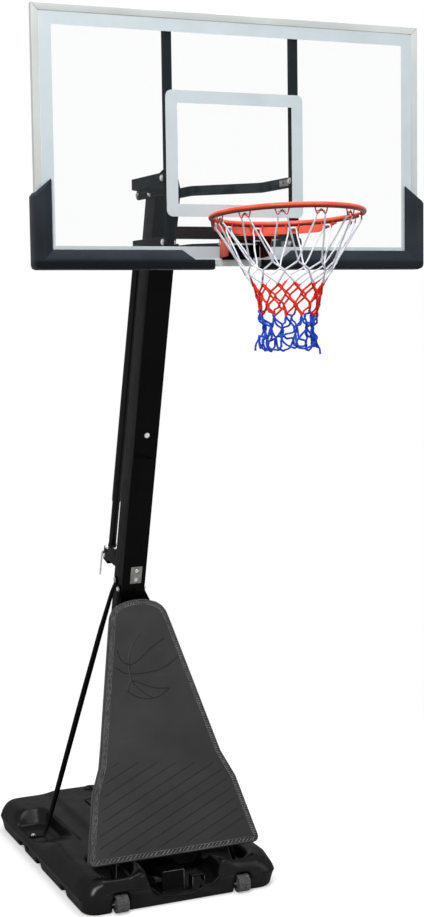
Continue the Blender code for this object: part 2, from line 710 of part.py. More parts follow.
def arm(name, side, pivot, tailY, tailHeight, parent, cutters):
    rings = [[Vector(point) - pivot for point in ring] for ring in armRings(side, pivot.z, tailY, tailHeight)]
    made = loft(name, rings, "blackSteel", location=pivot, parent=parent)
    tip = Vector((0, boardPivotY, pivot.z))
    wide = Vector((0.4, 0, 0))
    holes = [bore(pivot - wide, pivot + wide, pivotRadius + boltGap),
             bore(tip - wide, tip + wide, armBoltRadius + boltGap)]
    return carve(made, holes + cutters())


upperTailY = armPivotY + upperTail
tiePlace = Vector((0, upperTailY - tieSetback, upperPivotZ))


def noCutters():
    return []


def tieHole():
    return [bore(tiePlace - across, tiePlace + across, tieEndRadius + boltGap)]


def leverSlot():
    """The long hole in which the jack's top pin rides."""
    slotRadius = jackPinRadius + (slotUp + slotDown) / 2
    middle = jackHead[1] + (slotUp - slotDown) / 2
    front = jackHead[0] - slotAhead + (slotUp + slotDown) / 2
    rear = jackHead[0] + slotBehind - (slotUp + slotDown) / 2
    outline = []
    for centre, first in ((rear, -90), (front, 90)):
        for k in range(7):
            turn = math.radians(first + 180 * k / 6)
            outline.append((centre + slotRadius * math.cos(turn), middle + slotRadius * math.sin(turn)))
    return [prism("slot", outline, -0.2, 0.2, "X")]


leverTailY = jackHead[0] + slotBehind + jackPinRadius + 0.014
for label, side in (("left", -1), ("right", 1)):
    arm("arm_upper_" + label, side, upperPivot, upperTailY, armHeight, upperAxis, tieHole)
    arm("arm_lower_" + label, side, lowerPivot, leverTailY, leverHeight, lowerAxis, leverSlot)
tieInner = armNearX - armThickness / 2 - gap
tieOuter = armNearX + armThickness / 2 + gap
turned("arm_tie", [(tieRadius, -tieOuter - tieHeadWidth), (tieRadius, -tieOuter), (tieEndRadius, -tieOuter),
                   (tieEndRadius, -tieInner), (tieRadius, -tieInner), (tieRadius, tieInner),
                   (tieEndRadius, tieInner), (tieEndRadius, tieOuter), (tieRadius, tieOuter),
                   (tieRadius, tieOuter + tieHeadWidth)], 14, "zincDull",
       location=tiePlace, rotation=(0, math.radians(90), 0), parent=upperAxis, smooth=40)

# Backboard
boardAxis = axisEmpty("board_axis", (0, boardPivotY, upperPivotZ), upperAxis)
railFront = boardFace - railProud
railBack = railFront + railDepth
inner = boardHalf - railWidth
innerLow, innerHigh = boardBottom + railWidth, boardTop - railWidth
corners = {"bottom": [(-boardHalf, boardBottom), (boardHalf, boardBottom), (inner, innerLow),
                      (-inner, innerLow)],
           "top": [(-inner, innerHigh), (inner, innerHigh), (boardHalf, boardTop), (-boardHalf, boardTop)],
           "left": [(-boardHalf, boardBottom), (-inner, innerLow), (-inner, innerHigh), (-boardHalf, boardTop)],
           "right": [(inner, innerLow), (boardHalf, boardBottom), (boardHalf, boardTop), (inner, innerHigh)]}
boardSpot = Vector((0, boardPivotY, upperPivotZ))
for label, outline in corners.items():
    nudge = {"bottom": (0, -1), "top": (0, 1), "left": (-1, 0), "right": (1, 0)}[label]
    moved = [(x + nudge[0] * mitreGap, z + nudge[1] * mitreGap - upperPivotZ) for x, z in outline]
    prism("rail_" + label, moved, railFront - boardPivotY, railBack - boardPivotY, "Y", "aluminium",
          location=boardSpot, parent=boardAxis)
block("board_sheet", (-inner + gap, boardFace - boardPivotY, innerLow + gap - upperPivotZ),
      (inner - gap, boardFace + sheetThickness - boardPivotY, innerHigh - gap - upperPivotZ), "clearSheet",
      location=boardSpot, parent=boardAxis)
braceFront = railBack + gap
braceBack = braceFront + braceDepth
wide = Vector((0.4, 0, 0))
upperTip = Vector((0, boardPivotY, upperPivotZ))
lowerTip = Vector((0, boardPivotY, lowerPivotZ))
for label, side in (("left", -1), ("right", 1)):
    low, high = side * braceX - braceWidth / 2, side * braceX + braceWidth / 2
    outline = [(low, braceFront), (high, braceFront), (high, braceBack), (high - braceWall, braceBack),
               (high - braceWall, braceFront + braceWall), (low + braceWall, braceFront + braceWall),
               (low + braceWall, braceBack), (low, braceBack)]
    outline = [(x, y - boardPivotY) for x, y in outline]
    brace = prism("brace_" + label, outline, boardBottom + 0.002 - upperPivotZ, boardTop - 0.002 - upperPivotZ,
                  "Z", "blackSteel", location=boardSpot, parent=boardAxis)
    carve(brace, [bore(upperTip - wide, upperTip + wide, armBoltRadius + boltGap, 12),
                  bore(lowerTip - wide, lowerTip + wide, armBoltRadius + boltGap, 12)])
    innerFace = braceX - braceWidth / 2 - gap
    outerFace = armFarX + armThickness / 2 + gap
    for level, tip in (("upper", upperTip), ("lower", lowerTip)):
        bolt("board_bolt_%s_%s" % (level, label), tip + Vector((side * innerFace, 0, 0)),
             tip + Vector((side * outerFace, 0, 0)), armBoltRadius, 1, 1, parent=boardAxis)
barEnd = braceX - braceWidth / 2 - gap
block("crossbar", (-barEnd, braceFront - boardPivotY, crossbarBottom - upperPivotZ),
      (barEnd, braceFront + crossbarDepth - boardPivotY, crossbarBottom + crossbarHeight - upperPivotZ),
      "brownSteel", location=boardSpot, parent=boardAxis)

# Corner pads: outline of each pad as seen from the front, then the same with its bevel
padEdge = boardHalf + padWall
padLow = boardBottom - padWall
padTop = padLow + padRise
padInner = boardHalf - padBand + padWall
backOutline = [(padEdge - 0.014, padLow), (padReach - 0.012, padLow), (padReach - 0.012, padLow + 0.034),
               (padReach + 0.060, padLow + 0.034), (padReach + 0.098, padLow + padBand),
               (padInner, padLow + padBand), (padInner, padTop), (padEdge - 0.008, padTop - 0.046),
               (padEdge, padTop - 0.056), (padEdge, padLow + 0.014), (padEdge - 0.004, padLow + 0.004)]
frontOutline = [(padEdge - 0.016, padLow + 0.003), (padReach - 0.009, padLow + 0.003),
                (padReach - 0.009, padLow + 0.032), (padReach + 0.058, padLow + 0.032),
                (padReach + 0.062, padLow + padBand - padBevel),
                (padInner + padBevel, padLow + padBand - padBevel),
                (padInner + padBevel, padTop - 0.034), (padEdge - 0.010, padTop - 0.050),
                (padEdge - 0.003, padTop - 0.058), (padEdge - 0.003, padLow + 0.016),
                (padEdge - 0.007, padLow + 0.007)]
padFrontY = railFront - gap - padFront
for label, side in (("left", -1), ("right", 1)):
    rings = []
    for depth, outline in ((railBack + 0.006, backOutline), (railFront - 0.006, backOutline),
                           (padFrontY, frontOutline)):
        rings.append([(side * x, depth - boardPivotY, z - upperPivotZ) for x, z in outline])
    pad = loft("corner_pad_" + label, rings, "padBlack", location=boardSpot, parent=boardAxis)
    edge = side * (boardHalf + gap * 2)
    low, high = sorted((edge, side * 0.05))
    slot = block("slot", (low, railFront - gap, boardBottom - gap * 2), (high, railBack + 0.05, padTop + 0.1))
    carve(pad, [slot])

# Rim mount on the sheet's front, and the pin the rim swings on
mountHalf = mountWidth / 2
mountFace = boardFace - gap
earFront = mountFace - mountEar
mountOutline = [(-mountHalf, mountFace), (-mountHalf, earFront), (-mountHalf + mountWall, earFront),
                (-mountHalf + mountWall, mountFace - mountWall), (mountHalf - mountWall, mountFace - mountWall),
                (mountHalf - mountWall, earFront), (mountHalf, earFront), (mountHalf, mountFace)]
mountOutline = [(x, y - boardPivotY) for x, y in mountOutline]
mount = prism("rim_mount", mountOutline, mountBottom - upperPivotZ, mountTop - upperPivotZ, "Z", "brownSteel",
              location=boardSpot, parent=boardAxis)
rimPin = Vector((0, rimPinY, rimPinZ))
carve(mount, [bore(rimPin - across, rimPin + across, rimPinRadius + boltGap)])
carriageHalf = carriageWidth / 2
pinReach = Vector((carriageHalf + gap, 0, 0))
bolt("rim_pin", rimPin - pinReach, rimPin + pinReach, rimPinRadius, 1, 1, parent=boardAxis)

# Rim pieces, in a frame at the pin that is tilted with the rim
rimAxis = axisEmpty("rim_axis", rimPin, boardAxis)
rimTurn = (-rimTilt, 0, 0)
ringCentre = Vector((0, -rimReach, rimRise))
ringSides, rodSides = 44, 10
ringRings = []
for k in range(ringSides):
    turn = 2 * math.pi * k / ringSides
    outwardRay = Vector((math.cos(turn), math.sin(turn), 0))
    ringRings.append([ringCentre + outwardRay * (rimRadius + rimRod * math.cos(2 * math.pi * n / rodSides))
                      + Vector((0, 0, rimRod * math.sin(2 * math.pi * n / rodSides))) for n in range(rodSides)])
ring = loft("rim_ring", ringRings, "orangeSteel", closed=True, location=rimPin, rotation=rimTurn,
            parent=rimAxis, smooth=40)
hooks = []
for k in range(hookCount):
    turn = 2 * math.pi * k / hookCount
    ray = Vector((math.cos(turn), math.sin(turn), 0))
    tangent = Vector((-ray.y, ray.x, 0))
    shiftIn = ray * (rimRadius - hookInset)
    anchor = ringCentre + shiftIn
    root = -hookRoot
    spots = [(-0.5, root), (-0.27, root - hookDrop), (0.0, root - hookKink), (0.27, root - hookDrop),
             (0.5, root)]
    stations = [(anchor + tangent * hookWidth * part + Vector((0, 0, drop)), hookWire, hookWire)
                for part, drop in spots]
    hooks.append(sweep("hook", stations, "orangeSteel", sides=6, width=ray, location=rimPin, rotation=rimTurn))
carve(ring, hooks, "UNION")

stripSteps = 14
stripTop = rimRise - rimRod - gap
stripRings = []
for k in range(stripSteps + 1):
    turn = math.radians(90) - stripSweep + 2 * stripSweep * k / stripSteps
    ray = Vector((math.cos(turn), math.sin(turn), 0))
    edge = min(k, stripSteps - k) / stripSteps
    tall = stripHeight * min(1.0, 0.3 + edge * 9.8)
    centre = Vector((0, -rimReach, 0)) + ray * rimRadius
    half = ray * stripThickness / 2
    low, high = Vector((0, 0, stripTop - tall)), Vector((0, 0, stripTop))
    stripRings.append([centre - half + low, centre + half + low, centre + half + high, centre - half + high])
loft("rim_strip", stripRings, "orangeSteel", location=rimPin, rotation=rimTurn, parent=rimAxis, smooth=30)

plateTop = stripTop - stripHeight - gap
plateFace = -rimReach + rimRadius
carriageOutline = [(0.010, plateTop), (0.010, -0.046), (-0.050, -0.046), (-0.080, 0.010),
                   (plateFace - plateLap, plateTop - carriageWall), (plateFace - plateLap, plateTop)]
carriage = prism("rim_carriage", carriageOutline, -carriageHalf, carriageHalf, "X", "orangeSteel",
                 location=rimPin, rotation=rimTurn, parent=rimAxis)
hollow = block("hollow", (-carriageHalf + carriageWall, -0.30, -0.20),
               (carriageHalf - carriageWall, 0.10, plateTop - carriageWall), location=rimPin, rotation=rimTurn)
carve(carriage, [hollow, bore(rimPin - across, rimPin + across, rimPinRadius + boltGap)])

# Net: a diamond mesh of cord, hanging from the hooks
ringMiddle = rimPin + Matrix.Rotation(-rimTilt, 3, "X") @ ringCentre
hookBottom = -hookRoot - hookKink - hookWire
netTop = hookBottom - netKnot
netTopRadius = rimRadius - netInset
profile = [(0.0, netTopRadius), (0.377, netShoulderRadius), (0.481, netNeckRadius + 0.016),
           (0.559, netNeckRadius + 0.005), (0.641, netNeckRadius), (0.82, netNeckRadius - 0.007),
           (1.0, netEndRadius)]


def netRadius(share):
    for (first, wideFirst), (last, wideLast) in zip(profile, profile[1:]):
        if share <= last:
            part = (share - first) / (last - first)
            return wideFirst + (wideLast - wideFirst) * part
    return netEndRadius


netLevels = [0.0, 0.377, 0.481, 0.559, 0.641, 0.730, 0.822, 0.916, 1.0]
netPoints, netIndex = [], {}
for level, share in enumerate(netLevels):
    radius = netRadius(share)
    for k in range(hookCount):
        turn = 2 * math.pi * (k + 0.5 * (level % 2)) / hookCount
        ray = Vector((math.cos(turn), math.sin(turn), 0))
        lift = Matrix.Rotation(-rimTilt, 3, "X") @ (ray * rimRadius)
        slope = lift.z * (1 - share) ** 2
        netIndex[level, k] = len(netPoints)
        netPoints.append(ray * radius + Vector((0, 0, netTop + slope - netDrop * share)))
netFaces = []
for level in range(len(netLevels) - 2):
    for k in range(hookCount):
        shift = level % 2
        left = (k - 1 + shift) % hookCount
        right = (k + shift) % hookCount
        netFaces.append([netIndex[level, k], netIndex[level + 1, left], netIndex[level + 2, k],
                         netIndex[level + 1, right]])
net = build("net", [point + Vector((ringMiddle.x, ringMiddle.y, ringMiddle.z)) - rimPin for point in netPoints],
            netFaces, "netCord", location=rimPin, parent=rimAxis)
cord = net.modifiers.new("cord", "WIREFRAME")
cord.thickness = netWire
cord.use_replace = True
cord.use_boundary = True
cord.use_even_offset = True
cord.offset = 0.0

# Lift jack, built along its own Z from the bracket pin
jackSpot = Vector((0, *jackFoot))
jackTurn = (jackTilt, 0, 0)
jackEmpty = axisEmpty("jack_axis", jackSpot)
slideEmpty = axisEmpty("jack_slide", jackSpot, jackEmpty)
halfBox = gearboxWidth / 2
gearbox = block("jack_gearbox", (-halfBox, -gearboxDepth / 2, -gearboxBelow),
                (halfBox, gearboxDepth / 2, flangeAlong - gap),
                "blackSteel", location=jackSpot, rotation=jackTurn, parent=jackEmpty)
crankOut = Vector((0, math.cos(math.radians(2)), math.sin(math.radians(2))))
crankStart = Vector((0, jackFoot[0] + gearboxDepth / 2 - 0.012, jackFoot[1] - 0.003))
carve(gearbox, [bore(jackSpot - across, jackSpot + across, jackPinRadius + boltGap, 12),
                bore(crankStart - crankOut * 0.0006, crankStart + crankOut * 0.05, crankRadius + boltGap, 12)])
turned("jack_flange", [(flangeRadius - 0.002, flangeAlong), (flangeRadius, flangeAlong + 0.002),
                       (flangeRadius, flangeAlong + flangeThickness - 0.002),
                       (flangeRadius - 0.002, flangeAlong + flangeThickness)], 24, "zinc",
       location=jackSpot, rotation=jackTurn, parent=jackEmpty, smooth=40)
thinStart = flangeAlong + flangeThickness + gap
turned("jack_thin_tube", [(jackThinRadius + 0.003, thinStart), (jackThinRadius + 0.003, thinStart + 0.004),
                          (jackThinRadius, thinStart + 0.006), (jackThinRadius, jackThinTop)], 20, "jackBlack",
       location=jackSpot, rotation=jackTurn, parent=jackEmpty, smooth=40)
boreRadius = jackThinRadius / math.cos(math.pi / 20) + gap
thickTop = jackLength + 0.018
thickProfile = [(boreRadius, jackBoreEnd), (boreRadius, jackStep), (jackThickRadius, jackStep),
                (jackThickRadius, thickTop - 0.004), (jackThickRadius - 0.004, thickTop)]
thick = turned("jack_thick_tube", thickProfile, 20, "jackBlack", location=jackSpot, rotation=jackTurn,
               parent=slideEmpty, smooth=40)
headSpot = Vector((0, *jackHead))
carve(thick, [bore(headSpot - across, headSpot + across, jackPinRadius + boltGap, 12)])
headReach = Vector((armNearX + armThickness / 2 + 0.001, 0, 0))
turned("jack_top_pin", [(jackPinHead, -headReach.x - jackPinHeadWidth), (jackPinHead, -headReach.x),
                        (jackPinRadius, -headReach.x), (jackPinRadius, headReach.x), (jackPinHead, headReach.x),
                        (jackPinHead, headReach.x + jackPinHeadWidth)],
       12, "zincDull", location=headSpot, rotation=(0, math.radians(90), 0), parent=slideEmpty, smooth=40)

# Crank: a bent steel rod that turns in the gearbox
crankEmpty = axisEmpty("crank_axis", crankStart, jackEmpty)
legDown = Vector((0, math.sin(crankSwing), -math.cos(crankSwing)))
elbow = crankStart + crankOut * (crankShaft + 0.012)
route = [crankStart, elbow - crankOut * 0.012]
for share in (0.33, 0.67):
    route.append(elbow - crankOut * 0.012 * (1 - share) ** 2 + legDown * 0.012 * share ** 2)
route += [elbow + legDown * 0.012, elbow + legDown * crankArm]
sweep("crank_handle", [(point - crankStart, crankRadius, crankRadius) for point in route], "zinc", sides=10,
      width=(1, 0, 0), location=crankStart, parent=crankEmpty, smooth=40)

# Bracket on the pole's back that holds the jack's foot
poleBackAt = (lambda z: poleFootY + poleHalf / math.cos(poleLean) - z * math.tan(poleLean))
footY, footZ = jackFoot
rearCorner = footY + gearboxDepth / 2 - 0.004
bracketOutline = [(poleBackAt(footZ - 0.036) + gap, footZ - 0.036), (footY - 0.022, footZ - 0.014),
                  (rearCorner - 0.006, footZ - 0.014), (rearCorner, footZ - 0.006), (rearCorner, footZ + 0.010),
                  (rearCorner - 0.006, footZ + 0.015), (footY - 0.036, footZ + 0.015),
                  (footY - 0.046, footZ + 0.040), (poleBackAt(footZ + 0.040) + gap, footZ + 0.040)]
bracketHalf = halfBox + gap * 2 + bracketWall
bracket = prism("jack_bracket", bracketOutline, -bracketHalf, bracketHalf, "X")
inside = bracketHalf - bracketWall
webFront = [(poleBackAt(footZ - 0.08) + bracketWall * 1.1, footZ - 0.08), (footY + 0.1, footZ - 0.08),
            (footY + 0.1, footZ + 0.08), (poleBackAt(footZ + 0.08) + bracketWall * 1.1, footZ + 0.08)]
carve(bracket, [prism("slot", webFront, -inside, inside, "X"),
                bore(jackSpot - across, jackSpot + across, jackPinRadius + boltGap, 12)])
bracketReach = Vector((bracketHalf + gap, 0, 0))
bolt("jack_bracket_pin", jackSpot - bracketReach, jackSpot + bracketReach, jackPinRadius, 1, 1)
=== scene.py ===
import json
import math
import random

import bmesh
import bpy
from mathutils import Matrix, Vector

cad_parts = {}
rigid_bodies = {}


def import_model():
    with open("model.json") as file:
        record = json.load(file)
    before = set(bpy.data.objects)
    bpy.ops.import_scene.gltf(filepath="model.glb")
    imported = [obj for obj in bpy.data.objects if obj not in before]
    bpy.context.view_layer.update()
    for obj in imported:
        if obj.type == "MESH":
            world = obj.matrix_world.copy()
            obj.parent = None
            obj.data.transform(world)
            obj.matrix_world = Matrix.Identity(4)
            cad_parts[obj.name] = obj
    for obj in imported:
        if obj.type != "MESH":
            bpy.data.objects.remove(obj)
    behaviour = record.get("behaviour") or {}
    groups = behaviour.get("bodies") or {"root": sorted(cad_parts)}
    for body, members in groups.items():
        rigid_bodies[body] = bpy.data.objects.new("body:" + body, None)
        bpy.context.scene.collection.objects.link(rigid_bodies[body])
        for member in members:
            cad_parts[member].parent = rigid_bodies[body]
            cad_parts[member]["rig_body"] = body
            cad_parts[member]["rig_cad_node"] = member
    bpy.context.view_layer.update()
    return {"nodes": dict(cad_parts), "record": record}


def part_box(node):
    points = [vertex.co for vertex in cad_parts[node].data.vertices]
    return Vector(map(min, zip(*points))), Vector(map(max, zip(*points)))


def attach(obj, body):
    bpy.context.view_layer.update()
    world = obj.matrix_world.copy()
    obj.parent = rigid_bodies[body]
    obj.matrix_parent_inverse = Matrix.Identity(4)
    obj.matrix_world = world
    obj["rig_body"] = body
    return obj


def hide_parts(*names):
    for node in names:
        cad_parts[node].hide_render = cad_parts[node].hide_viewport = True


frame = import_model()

print("basketball stand: frame loaded")
bodyOf = {node: body for body, members in frame["record"]["behaviour"]["bodies"].items() for node in members}

# small helpers


def only(piece):
    bpy.ops.object.select_all(action="DESELECT")
    piece.select_set(True)
    bpy.context.view_layer.objects.active = piece


def editStart(piece, kind="FACE"):
    only(piece)
    setEdit()
    bpy.ops.mesh.select_mode(type=kind)
    bpy.ops.mesh.select_all(action="DESELECT")
    editEnd()


def editPick(piece, test, kind="FACE"):
    # selects faces or edges in code and leaves the piece in edit mode
    editStart(piece, kind)
    mesh = piece.data
    count = 0
    if kind == "FACE":
        for face in mesh.polygons:
            face.select = bool(test(face))
            count += face.select
    else:
        for edge in mesh.edges:
            ends = [mesh.vertices[k].co for k in edge.vertices]
            edge.select = bool(test(ends[0], ends[1]))
            count += edge.select
    setEdit()
    return count


def editAll(piece):
    only(piece)
    setEdit()
    bpy.ops.mesh.select_all(action="SELECT")


def editEnd():
    bpy.ops.object.mode_set(mode="OBJECT")


def setEdit():
    bpy.ops.object.mode_set(mode="EDIT")


def insetFaces(*steps):
    for thickness, depth in steps:
        bpy.ops.mesh.inset(thickness=thickness, depth=depth)


def settle(piece):
    # object back at the origin, its place in its mesh
    only(piece)
    bpy.ops.object.transform_apply(location=True, rotation=True, scale=True)
    return piece


def addStep(piece, name, kind, **settings):
    step = piece.modifiers.new(name, kind)
    for key, value in settings.items():
        setattr(step, key, value)


def applyAll(piece):
    only(piece)
    for step in list(piece.modifiers):
        bpy.ops.object.modifier_apply(modifier=step.name)
    return piece


def smoothAll(piece):
    only(piece)
    bpy.ops.object.shade_smooth()
    return piece


def smoothByAngle(piece, angle=32):
    only(piece)
    bpy.ops.object.shade_smooth_by_angle(angle=math.radians(angle))
    return piece


def bevelled(piece, width, segments=2, angle=30):
    addStep(piece, "soften", "BEVEL", width=width, segments=segments, limit_method="ANGLE",
            angle_limit=math.radians(angle), use_clamp_overlap=True,
            miter_outer="MITER_ARC" if segments > 2 else "MITER_SHARP")
    return applyAll(piece)


def worn(piece, width, segments=2, angle=40, shade=40):
    # small round edges and smooth faces
    return smoothByAngle(bevelled(piece, width, segments, angle), shade)


def carve(piece, cutters, crossing=True):
    cutter = joined("cutter", cutters)
    addStep(piece, "carve", "BOOLEAN", operation="DIFFERENCE", solver="EXACT", use_self=crossing, object=cutter)
    applyAll(piece)
    bpy.data.objects.remove(cutter, do_unlink=True)


def place(piece, look, body, nodes=()):
    piece.data.materials.clear()
    piece.data.materials.append(finishes[look])
    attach(piece, body)
    if nodes:
        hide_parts(*nodes)
    return piece


def cadCopy(node, name):
    source = frame["nodes"][node]
    piece = source.copy()
    piece.data = source.data.copy()
    piece.name = name
    piece.data.name = name
    bpy.context.scene.collection.objects.link(piece)
    piece.parent = None
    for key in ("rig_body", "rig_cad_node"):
        if key in piece:
            del piece[key]
    only(piece)
    bpy.ops.mesh.customdata_custom_splitnormals_clear()
    editAll(piece)
    bpy.ops.mesh.remove_doubles(threshold=0.00002)
    bpy.ops.mesh.dissolve_limited(angle_limit=math.radians(0.8))
    editEnd()
    return piece


def softened(node, look, width, segments=2, angle=30, shade=32):
    piece = worn(cadCopy(node, node + "_look"), width, segments, angle, shade)
    return place(piece, look, bodyOf[node], [node])


def rounded(node, look, levels=1, crease=48):
    # a turned or swept piece with its facets smoothed away and its sharp rims kept
    piece = cadCopy(node, node + "_look")
    editAll(piece)
    bpy.ops.mesh.tris_convert_to_quads()
    bpy.ops.mesh.select_all(action="DESELECT")
    bpy.ops.mesh.select_mode(type="EDGE")
    bpy.ops.mesh.edges_select_sharp(sharpness=math.radians(crease))
    bpy.ops.transform.edge_crease(value=0.9)
    editEnd()
    addStep(piece, "round", "SUBSURF", levels=levels, render_levels=levels)
    smoothByAngle(applyAll(piece), 40)
    return place(piece, look, bodyOf[node], [node])


def tube(name, points, radius, sides=8, closed=False):
    # a curve with a round bevel, turned into a mesh
    line = bpy.data.curves.new(name, "CURVE")
    line.dimensions = "3D"
    line.bevel_depth = radius
    line.bevel_resolution = max(0, sides // 4 - 1)
    line.use_fill_caps = not closed
    spline = line.splines.new("POLY")
    spline.points.add(len(points) - 1)
    for spot, point in zip(spline.points, points):
        spot.co = (*point, 1.0)
    spline.use_cyclic_u = closed
    piece = bpy.data.objects.new(name, line)
    bpy.context.scene.collection.objects.link(piece)
    only(piece)
    bpy.ops.object.convert(target="MESH")
    editAll(piece)
    bpy.ops.mesh.remove_doubles(threshold=0.00001)
    bpy.ops.mesh.normals_make_consistent(inside=False)
    editEnd()
    return piece


def added(operator, name, **how):
    # a new object from one of the mesh primitives
    bpy.ops.object.select_all(action="DESELECT")
    operator(**how)
    piece = bpy.context.active_object
    piece.name = name
    return piece


def joined(name, parts):
    bpy.ops.object.select_all(action="DESELECT")
    for part in parts:
        part.select_set(True)
    bpy.context.view_layer.objects.active = parts[0]
    if len(parts) > 1:
        bpy.ops.object.join()
    parts[0].name = name
    parts[0].data.name = name
    return parts[0]


def boxAt(low, high, name="box"):
    low, high = Vector(low), Vector(high)
    piece = added(bpy.ops.mesh.primitive_cube_add, name, size=1, location=(low + high) / 2)
    piece.scale = high - low
    return settle(piece)


def rodAt(start, end, radius, sides=24, name="rod"):
    start, end = Vector(start), Vector(end)
    return settle(added(bpy.ops.mesh.primitive_cylinder_add, name, vertices=sides, radius=radius,
                        depth=(end - start).length, location=(start + end) / 2,
                        rotation=(end - start).to_track_quat("Z", "Y").to_euler()))


def fromShape(name, shape):
    bmesh.ops.recalc_face_normals(shape, faces=shape.faces)
    mesh = bpy.data.meshes.new(name)
    shape.to_mesh(mesh)
    shape.free()
    piece = bpy.data.objects.new(name, mesh)
    bpy.context.scene.collection.objects.link(piece)
    return piece


def clamped(value):
    return min(1.0, max(0.0, value))


def between(marks, at, eased=False):
    # a value read off a list of (place, value) marks
    for (first, low), (last, high) in zip(marks, marks[1:]):
        if at <= last:
            part = (at - first) / (last - first)
            if eased:
                part = part * part * (3 - 2 * part)
            return low + (high - low) * part
    return marks[-1][1]


def towards(turn):
    return Vector((math.cos(turn), math.sin(turn), 0))


def sideways(way):
    return Vector((-way.y, way.x, 0))


# finishes

finishes = {}


def finish(tone, deep, patch, rough, grain, specular, **more):
    # tone and deep are mixed in patches; rough is (low, high); grain is (scale, strength, distance)
    return dict(tone=tone, deep=deep, patch=patch, rough=rough, grain=grain, specular=specular, **more)


